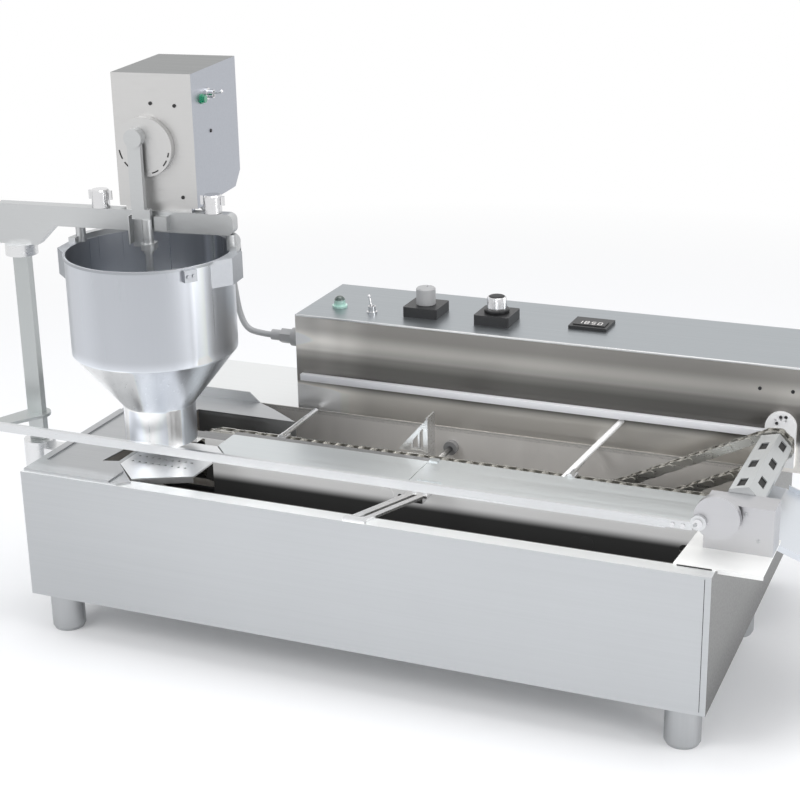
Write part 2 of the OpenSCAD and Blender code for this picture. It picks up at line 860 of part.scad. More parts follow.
module tube(path, r, sides) {
    n = len(path);
    side = [0, 1, 0];
    rings = [
        for (i = [0:n - 1])
            let (
                way = unit(path[min(i + 1, n - 1)] - path[max(i - 1, 0)]),
                u = unit(cross(way, abs(way[1]) > 0.9 ? [1, 0, 0] : side)),
                v = cross(way, u)
            )
            for (k = [0:sides - 1])
                path[i] + r * cos(k * 360 / sides) * u + r * sin(k * 360 / sides) * v
    ];
    walls = [
        for (i = [0:n - 2], k = [0:sides - 1])
            let (a = i * sides + k, b = i * sides + (k + 1) % sides)
            each [[a, b + sides, b], [a, a + sides, b + sides]]
    ];
    ends = [
        [for (k = [0:sides - 1]) k],
        [for (k = [sides - 1:-1:0]) (n - 1) * sides + k]
    ];
    polyhedron(points = rings, faces = concat(walls, ends));
}

module cable() {
    color([0.70, 0.71, 0.72]) body_at() tube(cable_path, cable_r, cable_sides);
}

module post_bracket() {
    color([0.80, 0.80, 0.80]) difference() {
        union() {
            body_at(-post_x, post_y, hub_low) cylinder(r = 20, h = hub_top - hub_low);
            body_at(-post_x, post_y - 14, hub_low + 4) cube([post_x, 28, hub_top - hub_low - 12]);
            body_at(-4, post_y - 32, hub_low + 4) cube([4, 64, hub_top - hub_low - 12]);
        }
        body_at(-post_x, post_y, hub_low - cut)
            cylinder(r = 8 + fit, h = hub_top - hub_low + 2 * cut);
    }
}

module drum() {
    wall = drum_wall;
    slot_l = 22;
    slot_w = 9;
    slots = 3;
    step = drum_len / slots;
    color([0.88, 0.89, 0.90])
        body_at(axis_x, drum_front, axis_z) rotate([0, -13, 0]) {
            difference() {
                rod_y(drum_r, drum_len, $fn = 6);
                translate([0, 3, 0]) rod_y(drum_r - wall / cos(30), drum_len - 6, $fn = 6);
                translate([0, -cut, 0]) rod_y(shaft_r, drum_len + 2 * cut);
                for (f = [0:5], i = [0:slots - 1])
                    rotate([0, 30 + f * 60, 0])
                        translate([drum_r - 6, (i + (f % 2 == 0 ? 0.32 : 0.66)) * step - slot_l / 2, -slot_w / 2])
                            cube([8, slot_l, slot_w]);
            }
        }
}

module drum_shaft() {
    end = tank_back + 50;
    color([0.72, 0.72, 0.72])
        body_at(axis_x, 0, axis_z) {
            translate([0, gear_box_y + 2.3, 0]) rod_y(journal_r, drum_front - gear_box_y - 2.3);
            translate([0, drum_front, 0]) rod_y(shaft_r, end - drum_front);
        }
}

// The drum's gear in the front box and its chain wheel at the back
module drum_wheels() {
    color([0.42, 0.41, 0.40])
        body_at(axis_x, 0, axis_z) {
            translate([0, gear_box_y + 12, 0]) gear(gear_w, journal_r);
            translate([0, drive_y, 0]) rotate([0, -drive_slope, 0])
                sprocket(drive_teeth, drive_pitch, drive_roller_r, drive_inner - 2, shaft_r);
        }
}

module crank_gear() {
    color([0.45, 0.44, 0.42])
        body_at(crank_x, gear_box_y + 12, axis_z) gear(gear_w, journal_r);
}

module crank_disc() {
    color([0.86, 0.87, 0.89])
        body_at(crank_x, 0, axis_z) {
            translate([0, crank_face, 0]) rod_y(crank_r, crank_t);
            translate([0, crank_face + crank_t, 0])
                rod_y(journal_r, gear_box_y + gear_box_d - 1 - crank_face - crank_t);
        }
}

module drive_shaft() {
    y0 = beam_y + beam_w - 10;
    color([0.60, 0.59, 0.57])
        body_at(drive_x, 0, drive_z) {
            translate([0, y0, 0]) rod_y(stub_r, tank_back - 4 - gap - y0);
            translate([0, conv_y, 0])
                sprocket(conv_drive_teeth, conv_pitch, conv_roller_r, conv_inner - 2, stub_r);
            translate([0, drive_y, 0]) rotate([0, -drive_slope, 0])
                sprocket(drive_teeth, drive_pitch, drive_roller_r, drive_inner - 2, stub_r);
        }
}

// An end sprocket of the conveyor on its stub shaft.
module end_sprocket() {
    y0 = beam_y + beam_w - 10;
    translate([0, y0, 0]) rod_y(stub_r, conv_y + 5 - y0);
    translate([0, conv_y, 0])
        sprocket(conv_teeth, conv_pitch, conv_roller_r, conv_inner - 2, stub_r);
}

module tail_sprocket() {
    color([0.55, 0.54, 0.52]) body_at(conv_x, 0, conv_z) end_sprocket();
}

module head_sprocket() {
    color([0.55, 0.54, 0.52]) body_at(conv_head_x, 0, conv_z) end_sprocket();
}

// The turning gate: a shaft under the chain's upper run with a blade and a latticed gusset.
module mid_flipper() {
    y0 = conv_y + conv_half + 3;
    base = rim - gate_z + 1;
    rail = 4;
    color([0.80, 0.80, 0.79])
        body_at(gate_x, 0, gate_z) {
            translate([0, beam_y + beam_w - 6, 0])
                rod_y(gate_r, tank_back - 4 - gap - beam_y - beam_w + 6);
            translate([0, y0, 0]) cube([2, 24, base + gusset_h + 2]);
            translate([0, y0, 0]) extrude_y(3) {
                difference() {
                    polygon([[-gusset_w, base], [1, base], [1, base + gusset_h]]);
                    polygon([
                        [-gusset_w + 3 * rail, base + rail], [-rail, base + rail],
                        [-rail, base + gusset_h - 3 * rail]
                    ]);
                }
                for (x = [-20, -11])
                    translate([x, base + 2])
                        square([2.5, (gusset_w + x) * gusset_h / gusset_w - rail]);
            }
        }
}

module link_bar() {
    fork_l = 34;
    color([0.80, 0.81, 0.83])
        body_at(0, link_front, 0) {
            translate([-overhang, 0, link_z - link_w / 2])
                cube([pin_x - fork_l + overhang, link_t, link_w]);
            extrude_y(link_t) {
                translate([pin_x - fork_l - 2, link_z - 4]) square([fork_l - 4, 9]);
                translate([pin_x, pin_z]) circle(8.5);
            }
        }
}

module link_pins() {
    color([0.55, 0.55, 0.55]) {
        body_at(pin_x, link_front - 2.2, pin_z) rod_y(5, 2.2, $fn = 32);
        for (x = [pin_x - 16, pin_x - 27])
            body_at(x, link_front - 1.6, link_z) rod_y(2.6, 1.6, $fn = 24);
        body_at(tip_x, link_y, link_z + link_w / 2) cylinder(r = 2.4, h = 3, $fn = 24);
    }
}

module post() {
    color([0.78, 0.78, 0.79]) {
        head_at(0, 0, hub_low) cylinder(r = 8, h = hub_top + gap - hub_low);
        head_at(-post_w / 2, -post_t / 2, hub_top + gap)
            cube([post_w, post_t, arm_low - hub_top - gap]);
    }
}

// A plate from the post to the link's end, with its edges tangent to hub and eye.
module post_lever() {
    hub_r = 17;
    side = asin((hub_r - lever_eye_r) / lever_len);
    function edge(r, s, x) = [x + r * sin(side), s * r * cos(side)];
    color([0.76, 0.77, 0.78])
        head_at(0, 0, lever_top - lever_t)
            linear_extrude(lever_t)
                difference() {
                    rotate(lever_angle) {
                        circle(hub_r);
                        translate([lever_len, 0]) circle(lever_eye_r);
                        polygon([
                            edge(hub_r, -1, 0), edge(lever_eye_r, -1, lever_len),
                            edge(lever_eye_r, 1, lever_len), edge(hub_r, 1, 0)
                        ]);
                    }
                    translate([-post_w / 2, -post_t / 2]) square([post_w, post_t]);
                }
}

module post_collar() {
    color([0.82, 0.82, 0.82])
        head_at(0, 0, arm_low - collar_h)
            linear_extrude(collar_h)
                difference() {
                    circle(20);
                    translate([-post_w / 2, -post_t / 2]) square([post_w, post_t]);
                }
}

module arm() {
    tail = 25;
    deep = 27;
    r = 8;
    color([0.86, 0.87, 0.88]) difference() {
        head_at(0, -arm_t / 2, 0)
            extrude_y(arm_t) {
                polygon([
                    [-tail, arm_low], [deep, arm_low], [deep + arm_drop, arm_under],
                    [arm_len - r, arm_under], [arm_len, arm_under + r], [arm_len, arm_top - r],
                    [arm_len - r, arm_top], [-tail, arm_top]
                ]);
                for (z = [arm_under + r, arm_top - r]) translate([arm_len - r, z]) circle(r);
            }
        for (x = clamp_x) head_at(x, 0, arm_top - 18) cylinder(r = 4 + fit, h = 18 + cut);
    }
}

module yoke() {
    high = 7;
    deep = 11;
    back_y = 40;
    foot_r = 6;
    foot_x = sqrt(pow(hopper_r - 0.5, 2) - pow(hopper_fwd, 2));
    size = 2 * hopper_r;
    color([0.84, 0.85, 0.86]) {
        head_at(reach, -hopper_fwd, ring_top) linear_extrude(high) difference() {
            circle(hopper_r + 9);
            circle(hopper_r);
            translate([-size, -size]) square([2 * size, size + 8]);
        }
        head_at(reach, -hopper_fwd, ring_top - deep) linear_extrude(deep) difference() {
            circle(hopper_r + 9);
            circle(hopper_r);
            translate([-size, -size]) square([2 * size, size + back_y]);
        }
        for (x = [-foot_x, foot_x])
            head_at(reach + x, 0, ring_top) cylinder(r = foot_r, h = arm_under - ring_top);
    }
}

module hopper_ring() {
    bead_h = 3;
    lug_turn = -40;
    size = 2 * hopper_r;
    color([0.84, 0.84, 0.84]) {
        head_at(reach, -hopper_fwd, ring_top - ring_h)
            difference() {
                linear_extrude(ring_h)
                    for (side = [0, 180])
                        rotate(side)
                            polygon([
                                [80, -40], [90, -40], [ear_reach, -16], [ear_reach, 16],
                                [90, 39.9], [80, 39.9]
                            ]);
                translate([0, 0, -cut]) cylinder(r = hopper_r, h = ring_h + 2 * cut);
            }
        head_at(reach, -hopper_fwd, ring_top - bead_h)
            linear_extrude(bead_h)
                difference() {
                    circle(hopper_r + 1.5);
                    circle(hopper_r);
                    translate([-size, 20]) square([2 * size, size]);
                }
        head_at(reach, -hopper_fwd, ring_top - 16) rotate([0, 0, lug_turn])
            difference() {
                union() {
                    translate([hopper_r - 4, -8, 0]) cube([11, 16, 14]);
                    for (y = [-3.5, 3.5]) translate([hopper_r, y, 7]) rod_x(2.2, 9, $fn = 24);
                }
                translate([0, 0, -cut]) cylinder(r = hopper_r, h = 14 + 2 * cut);
            }
    }
}

module hopper() {
    wall = 1.5;
    color([0.82, 0.82, 0.82])
        head_at(reach, -hopper_fwd, 0)
            rotate_extrude($fn = 96)
                polygon([
                    [nozzle_bore, nozzle_low], [nozzle_r, nozzle_low], [nozzle_r, nozzle_top],
                    [hopper_r, cone_top], [hopper_r, hopper_rim], [hopper_r - wall, hopper_rim],
                    [hopper_r - wall, cone_top + 1], [nozzle_r - wall, nozzle_top + 2],
                    [nozzle_bore, nozzle_top - 4]
                ]);
}

module head_shell() {
    slant = 18;
    color([0.66, 0.63, 0.61]) difference() {
        union() {
            head_at(shell_x, shell_y, 0) extrude_x(motor_w)
                polygon([
                    [0, shell_z], [motor_d - slant, shell_z], [motor_d, shell_z + slant],
                    [motor_d, shell_z + motor_h], [0, shell_z + motor_h]
                ]);
            head_at(shell_x + 8, shell_y, arm_top) cube([motor_w - 16, arm_t / 2 - shell_y, 4]);
        }
        head_at(shell_x + sheet, shell_y, 0) extrude_x(motor_w - 2 * sheet)
            polygon([
                [sheet, shell_z + sheet], [motor_d - slant - sheet, shell_z + sheet],
                [motor_d - sheet, shell_z + slant + sheet],
                [motor_d - sheet, shell_z + motor_h - sheet], [sheet, shell_z + motor_h - sheet]
            ]);
        head_at(disc_x, shell_y - cut, disc_z) rod_y(7, sheet + 2 * cut);
    }
}

module head_motor() {
    y0 = shell_y + sheet;
    color([0.32, 0.33, 0.35]) difference() {
        union() {
            head_at(disc_x - 30, y0, disc_z - 30) cube([60, 46, 60]);
            head_at(disc_x, y0 + 46, disc_z) rod_y(27, 74);
            head_at(disc_x - 20, y0 + 6, shell_z + sheet)
                cube([40, 34, disc_z - 30 - shell_z - sheet]);
        }
        head_at(disc_x, y0 - cut, disc_z) rod_y(6 + fit, 31);
    }
}

module head_lamp() {
    color([0.15, 0.65, 0.25])
        head_at(shell_x + motor_w, 26, shell_z + 125) {
            rod_x(6, 2);
            translate([2, 0, 0]) rod_x(4.5, 4);
        }
}

module head_bush() {
    color([0.70, 0.70, 0.70])
        head_at(shell_x + motor_w, 44, shell_z + 128) rotate([0, 90, 0]) toggle_collar();
}

module head_toggle() {
    color([0.75, 0.75, 0.75])
        head_at(shell_x + motor_w, 44, shell_z + 128)
            rotate([0, 90, 0]) toggle_lever(17, -12);
}

module head_gland() {
    gx = (120 + post_x) * cos(head_yaw) + (255 - post_y) * sin(head_yaw);
    gy = (255 - post_y) * cos(head_yaw) - (120 + post_x) * sin(head_yaw);
    low = CABLE[cable_last][2] - 4;
    color([0.20, 0.20, 0.21]) difference() {
        head_at(gx, gy, low) cylinder(r = 8, h = shell_z - low);
        head_at(gx, gy, low - cut) cylinder(r = cable_r + gap, h = 4 + gap + cut);
    }
}

// A channel on the arm's front with a bushing round the plunger's socket
module rod_guide() {
    t = 2;
    left_x = boss_x - 15;
    wide = 26;
    face = -arm_t / 2 - t;
    color([0.80, 0.80, 0.80]) difference() {
        union() {
            head_at(reach, -hopper_fwd, ring_top) cylinder(r = 9, h = guide_h);
            head_at(reach - 7, -hopper_fwd, ring_top)
                cube([14, hopper_fwd - arm_t / 2, guide_h]);
            head_at(left_x, face, ring_top) cube([wide, t, arm_top - 4 - ring_top]);
            head_at(left_x, face - 12, ring_top + 6) cube([t, 12 + t, arm_top - 10 - ring_top]);
            head_at(left_x + wide - t, face, arm_top - 21) cube([24, t, 17]);
            head_at(reach + 8, face - 8, arm_top - 21) cube([16, 8 + t, 17]);
        }
        head_at(reach, -hopper_fwd, ring_top - cut)
            cylinder(r = socket_r + fit, h = guide_h + 2 * cut);
    }
}

module head_disc() {
    color([0.88, 0.89, 0.90])
        head_at(disc_x, 0, disc_z) {
            translate([0, shell_y - gap - disc_t, 0]) rod_y(head_disc_r, disc_t);
            translate([0, shell_y - gap, 0]) rod_y(6, sheet + 28);
        }
}

// The flat rod from the crank boss down to the plunger's socket
module connecting_rod() {
    t = 7;
    rod_w = 16.5;
    face = shell_y - gap - disc_t - gap;
    y0 = -hopper_fwd - t / 2;
    color([0.86, 0.86, 0.87]) {
        head_at(boss_x, y0 - 2, boss_z) rod_y(11, face - y0 + 2);
        head_at(boss_x - rod_w / 2, y0, socket_top) cube([rod_w, t, boss_z - socket_top]);
        head_at(reach - 6, y0, socket_top) cube([12, t, 12]);
    }
}

module plunger() {
    socket_low = ring_top - 4;
    piston_low = nozzle_low + 16;
    color([0.80, 0.80, 0.80])
        head_at(reach, -hopper_fwd, 0) {
            translate([0, 0, socket_low]) cylinder(r = socket_r, h = socket_top - socket_low);
            translate([0, 0, piston_low]) cylinder(r = 4.5, h = socket_low - piston_low);
            translate([0, 0, piston_low]) cylinder(r = nozzle_bore - fit, h = 10);
        }
}

// A control knob's stem and grip, standing on the local origin along +Z.
module control_knob(low, high, r) {
    color([0.78, 0.78, 0.79]) difference() {
        union() {
            translate([0, 0, -9]) cylinder(r = 4, h = 10);
            cylinder(r = low, h = 5);
            cylinder(r = r, h = high);
            translate([0, 0, high]) cylinder(r1 = r, r2 = r - 1.5, h = 1.5);
        }
        translate([-0.8, 3, high + 0.7]) cube([1.6, r, 2]);
    }
}

module heat_knob() {
    body_at(heat_at[0], heat_at[1], box_top + base_h + gap) control_knob(knob_r, 20, knob_r);
}

module speed_knob() {
    body_at(speed_at[0], speed_at[1], box_top + base_h + gap)
        control_knob(knob_r + 3.5, 19, knob_r - 0.5);
}

// A hand knob with a wire bail on its screw, standing on the local origin along +Z.
module hand_knob() {
    half = 15;
    wire = 2.5;
    translate([0, 0, -17]) cylinder(r = 4, h = 18);
    cylinder(r = 11, h = 20);
    translate([0, 0, 20]) cylinder(r1 = 11, r2 = 9.5, h = 1.5);
    translate([-half, -wire / 2, 20 - wire]) cube([2 * half, wire, wire]);
    for (x = [-half, half - wire]) translate([x, -wire / 2, 9]) cube([wire, wire, 10]);
}

module left_clamp_knob() {
    color([0.80, 0.80, 0.80]) head_at(clamp_x[0], 0, arm_top + gap) hand_knob();
}

module right_clamp_knob() {
    color([0.80, 0.80, 0.80]) head_at(clamp_x[1], 0, arm_top + gap) hand_knob();
}

body_shell();
legs();
oil_tank();
heating_element();
left_deck();
drop_plate();
rear_deck();
beam_channel();
beam_covers();
cross_bracket();
right_deck();
front_gear_box();
rear_bearing();
conveyor_chain();
paddle_rods();
drive_chain();
gear_motor();
out_chute();
control_box();
ledge();
knob_bases();
control_lamp();
display();
box_bush();
box_gland();
cable();
post_bracket();
drum();
drum_shaft();
drum_wheels();
crank_disc();
crank_gear();
drive_shaft();
tail_sprocket();
head_sprocket();
mid_flipper();
link_bar();
link_pins();
post();
post_lever();
post_collar();
arm();
yoke();
hopper_ring();
hopper();
head_shell();
head_motor();
head_lamp();
head_bush();
head_gland();
rod_guide();
head_disc();
connecting_rod();
plunger();
heat_knob();
speed_knob();
box_toggle();
head_toggle();
left_clamp_knob();
right_clamp_knob();
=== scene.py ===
# %% [markdown]
# # A countertop ring doughnut fryer
# The solids of the machine were drawn in a CAD program and arrive here packed as a
# frame: every node keeps its name, its place and the body that it moves with.
# This notebook dresses them: it paints each metal, adds the small screws and seams
# that a solid model leaves out, gives three plain solids a finer form, and lights the
# machine on a white floor, as a catalogue photograph would show it.

# %% Load the frame
import math
import bmesh
import bpy
from mathutils import Matrix, Vector


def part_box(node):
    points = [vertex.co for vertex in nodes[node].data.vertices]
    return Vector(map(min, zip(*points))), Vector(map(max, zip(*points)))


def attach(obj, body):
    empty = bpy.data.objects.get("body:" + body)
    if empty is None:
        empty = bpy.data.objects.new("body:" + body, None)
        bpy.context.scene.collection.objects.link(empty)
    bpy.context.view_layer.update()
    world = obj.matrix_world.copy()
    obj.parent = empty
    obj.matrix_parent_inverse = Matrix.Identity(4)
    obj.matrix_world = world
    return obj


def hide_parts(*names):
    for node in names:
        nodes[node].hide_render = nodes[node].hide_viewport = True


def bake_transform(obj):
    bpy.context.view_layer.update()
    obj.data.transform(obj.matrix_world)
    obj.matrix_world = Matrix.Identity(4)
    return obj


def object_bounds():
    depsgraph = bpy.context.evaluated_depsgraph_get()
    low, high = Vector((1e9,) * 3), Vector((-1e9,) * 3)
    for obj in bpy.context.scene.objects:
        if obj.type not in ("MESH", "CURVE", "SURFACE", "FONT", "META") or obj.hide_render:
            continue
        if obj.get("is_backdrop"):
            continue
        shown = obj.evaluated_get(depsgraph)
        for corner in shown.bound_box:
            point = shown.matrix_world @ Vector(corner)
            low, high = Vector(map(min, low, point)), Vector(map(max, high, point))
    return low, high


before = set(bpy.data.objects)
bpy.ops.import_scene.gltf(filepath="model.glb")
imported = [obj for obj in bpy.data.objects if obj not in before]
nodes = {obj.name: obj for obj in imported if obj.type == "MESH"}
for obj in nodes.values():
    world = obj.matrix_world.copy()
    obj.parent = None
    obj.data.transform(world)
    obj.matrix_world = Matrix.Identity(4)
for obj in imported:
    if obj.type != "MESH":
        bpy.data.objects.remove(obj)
cad_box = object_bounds()

# %% [markdown]
# ## The camera
# The photograph was taken from the front right, a little above the machine, with a
# long lens. The viewpoint was worked out from the straight edges of the tank and the
# control box, so the camera is placed by its position, its three turns and its lens.

# %% Place the camera
CAMERA_AT = Vector((0.7527, -1.8205, 0.9915))
CAMERA_TURN = 23.0
CAMERA_TILT = 70.1
CAMERA_ROLL = -1.12
LENS_MM = 77.58
SENSOR_MM = 36.0
NEAREST, FARTHEST = 0.05, 60.0
MACHINE_MIDDLE = Vector((0, 0, 0.3))

camera_data = bpy.data.cameras.new("view")
camera_data.lens = LENS_MM
camera_data.sensor_width = SENSOR_MM
camera_data.clip_start = NEAREST
camera_data.clip_end = FARTHEST
camera = bpy.data.objects.new("view", camera_data)
bpy.context.scene.collection.objects.link(camera)
camera.matrix_world = (
    Matrix.Translation(CAMERA_AT)
    @ Matrix.Rotation(math.radians(CAMERA_TURN), 4, "Z")
    @ Matrix.Rotation(math.radians(CAMERA_TILT), 4, "X")
    @ Matrix.Rotation(math.radians(CAMERA_ROLL), 4, "Z")
)
bpy.context.scene.camera = camera
print("camera is", round((CAMERA_AT - MACHINE_MIDDLE).length, 3), "m from the machine")

# %% [markdown]
# ## Node helpers
# Every finish below is a small tree of shader nodes, which could be built by hand in
# the editor. In code a few helpers keep the trees short: one adds a node and sets its
# inputs, one makes a fresh material, one reads the object's own coordinates, and one
# stretches a value from one range to another.

# %% Helpers for materials
def add_node(tree, kind, **inputs):
    node = tree.nodes.new(kind)
    for name, value in inputs.items():
        node.inputs[name.replace("_", " ")].default_value = value
    return node


def new_material(name, color, metallic, roughness):
    material = bpy.data.materials.new(name)
    material.use_nodes = True
    tree = material.node_tree
    shader = tree.nodes["Principled BSDF"]
    shader.inputs["Base Color"].default_value = (*color, 1.0)
    shader.inputs["Metallic"].default_value = metallic
    shader.inputs["Roughness"].default_value = roughness
    return material, tree, shader


def object_coords(tree, stretch=(1, 1, 1), turn=0.0):
    coords = tree.nodes.new("ShaderNodeTexCoord")
    mapping = tree.nodes.new("ShaderNodeMapping")
    mapping.inputs["Scale"].default_value = stretch
    mapping.inputs["Rotation"].default_value = (0.0, 0.0, math.radians(turn))
    tree.links.new(coords.outputs["Object"], mapping.inputs["Vector"])
    return mapping.outputs["Vector"]


def ramp_between(tree, source, low, high, dark, light):
    ramp = tree.nodes.new("ShaderNodeMapRange")
    ramp.inputs["From Min"].default_value = low
    ramp.inputs["From Max"].default_value = high
    ramp.inputs["To Min"].default_value = dark
    ramp.inputs["To Max"].default_value = light
    tree.links.new(source, ramp.inputs["Value"])
    return ramp.outputs["Result"]


print("helpers: a node, a material, coordinates and a range")

# %% [markdown]
# Three more helpers join nodes: one picks an axis of a vector, one mixes two colours,
# and one does a sum on two values. Where a colour is fixed it is typed into the node,
# and where another node gives it, it is linked.

# %% Helpers that join nodes
def axis_of(tree, vector, axis):
    parts = tree.nodes.new("ShaderNodeSeparateXYZ")
    tree.links.new(vector, parts.inputs["Vector"])
    return parts.outputs[axis]


def feed(tree, value, socket):
    if isinstance(value, bpy.types.NodeSocket):
        tree.links.new(value, socket)
    else:
        socket.default_value = value


def mix_colors(tree, factor, first, second, blend="MIX"):
    mix = tree.nodes.new("ShaderNodeMix")
    mix.data_type = "RGBA"
    mix.blend_type = blend
    mix.clamp_result = blend == "MULTIPLY"
    feed(tree, factor, mix.inputs["Factor"])
    feed(tree, first, mix.inputs["A"])
    feed(tree, second, mix.inputs["B"])
    return mix.outputs["Result"]


def combine(tree, operation, first, second):
    node = tree.nodes.new("ShaderNodeMath")
    node.operation = operation
    tree.links.new(first, node.inputs[0])
    tree.links.new(second, node.inputs[1])
    return node.outputs["Value"]


print("helpers: an axis, a mix of colours and a sum")

# %% [markdown]
# ## Masks by side and by height
# Flat steel mirrors its room, so each side of a box looks lighter or darker by the way
# it faces; the finishes below paint that light and shade into the colour. A mask that is
# 1 on one side of the object and 0 on the others comes from the surface's own normal. A
# second mask picks a band of heights on the object.

# %% Masks on the object
SIDES = {
    "top": ("Z", 1), "right": ("X", 1), "left": ("X", -1), "front": ("Y", -1), "back": ("Y", 1),
}
FACING_FROM, FACING_FULL = 0.5, 0.95


def side_mask(tree, side):
    axis, sign = SIDES[side]
    coords = tree.nodes.new("ShaderNodeTexCoord")
    facing = axis_of(tree, coords.outputs["Normal"], axis)
    return ramp_between(tree, facing, FACING_FROM * sign, FACING_FULL * sign, 0.0, 1.0)


def band_mask(tree, low, high, soft=0.002):
    height = axis_of(tree, object_coords(tree), "Z")
    above = ramp_between(tree, height, low - soft, low + soft, 0.0, 1.0)
    below = ramp_between(tree, height, high - soft, high + soft, 1.0, 0.0)
    return combine(tree, "MULTIPLY", above, below)


print("sides that a mask can pick:", ", ".join(SIDES))

# %% [markdown]
# ## Tints and fades
# A tint paints one side of the object lighter or darker: painted light and shade for the
# way that side faces. A fade multiplies the colour by values set along an axis, and paints
# the soft bands that the steel of such a machine mirrors: these painted reflections stay
# where they are on the steel, from whichever side the machine is seen. The slanted axis
# lies across the hopper as the photograph shows it.

# %% Tint a side and fade along an axis
SLANT = 23.0


def tint_sides(tree, shade, sides):
    for side, color in sides.items():
        shade = mix_colors(tree, side_mask(tree, side), shade, (*color, 1.0))
    return shade


def value_ramp(tree, source, stops):
    ramp = tree.nodes.new("ShaderNodeValToRGB")
    ramp.color_ramp.interpolation = "EASE"
    for index, (where, value) in enumerate(stops):
        if index < 2:
            element = ramp.color_ramp.elements[index]
            element.position = where
        else:
            element = ramp.color_ramp.elements.new(where)
        element.color = (value, value, value, 1.0)
    tree.links.new(source, ramp.inputs["Fac"])
    return ramp.outputs["Color"]


def fade_along(tree, shade, axis, low, high, stops, within=None):
    if axis == "slant":
        place = axis_of(tree, object_coords(tree, turn=-SLANT), "X")
    else:
        place = axis_of(tree, object_coords(tree), axis)
    values = value_ramp(tree, ramp_between(tree, place, low, high, 0.0, 1.0), stops)
    factor = 1.0
    if within:
        factor = side_mask(tree, within) if within in SIDES else band_mask(tree, *within)
    return mix_colors(tree, factor, shade, values, "MULTIPLY")


print("the slanted axis is turned", SLANT, "degrees")

# %% [markdown]
# ## Brushed stainless steel
# Nearly the whole machine is stainless sheet. The rolling mill leaves fine parallel
# scratches, so the steel is duller across them than along them. A picture of scratches
# would need unwrapping; a noise that is stretched along one axis draws them without it.
# It moves the roughness and gives a very shallow bump. A second, broad noise varies the
# tone a little, as wiping does.

# %% Make a brushed steel
ALONG, ACROSS = 3, 420
GRAIN = {
    "x": (ALONG, ACROSS, ACROSS), "y": (ACROSS, ALONG, ACROSS), "z": (ACROSS, ACROSS, ALONG),
}
NOISE_LOW, NOISE_HIGH = 0.3, 0.7
SMOOTHER, ROUGHER = 0.05, 0.07
CLOUD_SCALE = 5.0
SCRATCH_REACH = 0.0002
SCRATCH_GAIN = 10


def tone_of(color, share):
    return (*[min(1.0, c * share) for c in color], 1.0)


def brushed_steel(name, color, roughness, grain="x", depth=0.012, tone=0.06, sides=None,
                  fades=(), metallic=1.0, bounce=0.0):
    material, tree, shader = new_material(name, color, metallic, roughness)
    lines = add_node(tree, "ShaderNodeTexNoise", Scale=1.0, Detail=3.0)
    tree.links.new(object_coords(tree, GRAIN[grain]), lines.inputs["Vector"])
    rough = ramp_between(tree, lines.outputs["Fac"], NOISE_LOW, NOISE_HIGH,
                         roughness - SMOOTHER, roughness + ROUGHER)
    tree.links.new(rough, shader.inputs["Roughness"])
    cloud = add_node(tree, "ShaderNodeTexNoise", Scale=CLOUD_SCALE, Detail=2.0)
    tree.links.new(object_coords(tree), cloud.inputs["Vector"])
    shade = mix_colors(tree, cloud.outputs["Fac"],
                       tone_of(color, 1 - tone), tone_of(color, 1 + tone))
    # The side tints and the fades paint light and shade into the colour: painted light, painted
    # shade and painted reflections.
    shade = tint_sides(tree, shade, sides or {})
    for fade in fades:
        shade = fade_along(tree, shade, *fade)
    tree.links.new(shade, shader.inputs["Base Color"])
    # A glow in the steel's own colour is painted light, standing for light thrown onto a part in
    # shade.
    if bounce:
        tree.links.new(shade, shader.inputs["Emission Color"])
        shader.inputs["Emission Strength"].default_value = bounce
    bump = add_node(tree, "ShaderNodeBump", Strength=depth * SCRATCH_GAIN, Distance=SCRATCH_REACH)
    tree.links.new(lines.outputs["Fac"], bump.inputs["Height"])
    tree.links.new(bump.outputs["Normal"], shader.inputs["Normal"])
    return material


print("grain directions:", ", ".join(GRAIN))

# %% [markdown]
# ## Moulded plastic and coated metal
# The small dark parts have a fine, even grain from their mould or their coating. A
# tight noise in the bump gives it, and the same noise moves the roughness.

# %% Make a moulded finish
GRAIN_REACH = 0.0003


def moulded(name, color, roughness, grain=900.0, depth=0.15, metallic=0.0):
    material, tree, shader = new_material(name, color, metallic, roughness)
    noise = add_node(tree, "ShaderNodeTexNoise", Scale=grain, Detail=2.0)
    tree.links.new(object_coords(tree), noise.inputs["Vector"])
    bump = add_node(tree, "ShaderNodeBump", Strength=depth, Distance=GRAIN_REACH)
    tree.links.new(noise.outputs["Fac"], bump.inputs["Height"])
    tree.links.new(bump.outputs["Normal"], shader.inputs["Normal"])
    spread = ramp_between(tree, noise.outputs["Fac"], NOISE_LOW, NOISE_HIGH,
                          roughness - SMOOTHER, roughness + SMOOTHER)
    tree.links.new(spread, shader.inputs["Roughness"])
    return material


print("mould grain reaches", GRAIN_REACH * 1000, "mm deep")

# %% [markdown]
# ## Lenses
# The lamps are tinted and glossy under a clear coat, and some glow slightly. A soft
# noise keeps the moulded lens from looking like a perfect mirror.

# %% Make a lens
LENS_ROUGH = 0.12
LENS_SMOOTHEST, LENS_ROUGHEST = 0.08, 0.2
LENS_NOISE_SCALE = 160.0
LENS_COAT = 0.6


def lens(name, color, glow, fades=()):
    material, tree, shader = new_material(name, color, 0.0, LENS_ROUGH)
    shade = (*color, 1.0)
    for fade in fades:
        shade = fade_along(tree, shade, *fade)
    feed(tree, shade, shader.inputs["Base Color"])
    shader.inputs["Emission Color"].default_value = (*color, 1.0)
    shader.inputs["Emission Strength"].default_value = glow
    shader.inputs["Coat Weight"].default_value = LENS_COAT
    rings = add_node(tree, "ShaderNodeTexNoise", Scale=LENS_NOISE_SCALE)
    tree.links.new(object_coords(tree), rings.inputs["Vector"])
    rough = ramp_between(tree, rings.outputs["Fac"], NOISE_LOW, NOISE_HIGH,
                         LENS_SMOOTHEST, LENS_ROUGHEST)
    tree.links.new(rough, shader.inputs["Roughness"])
    return material


print("a lens has a coat of", LENS_COAT)
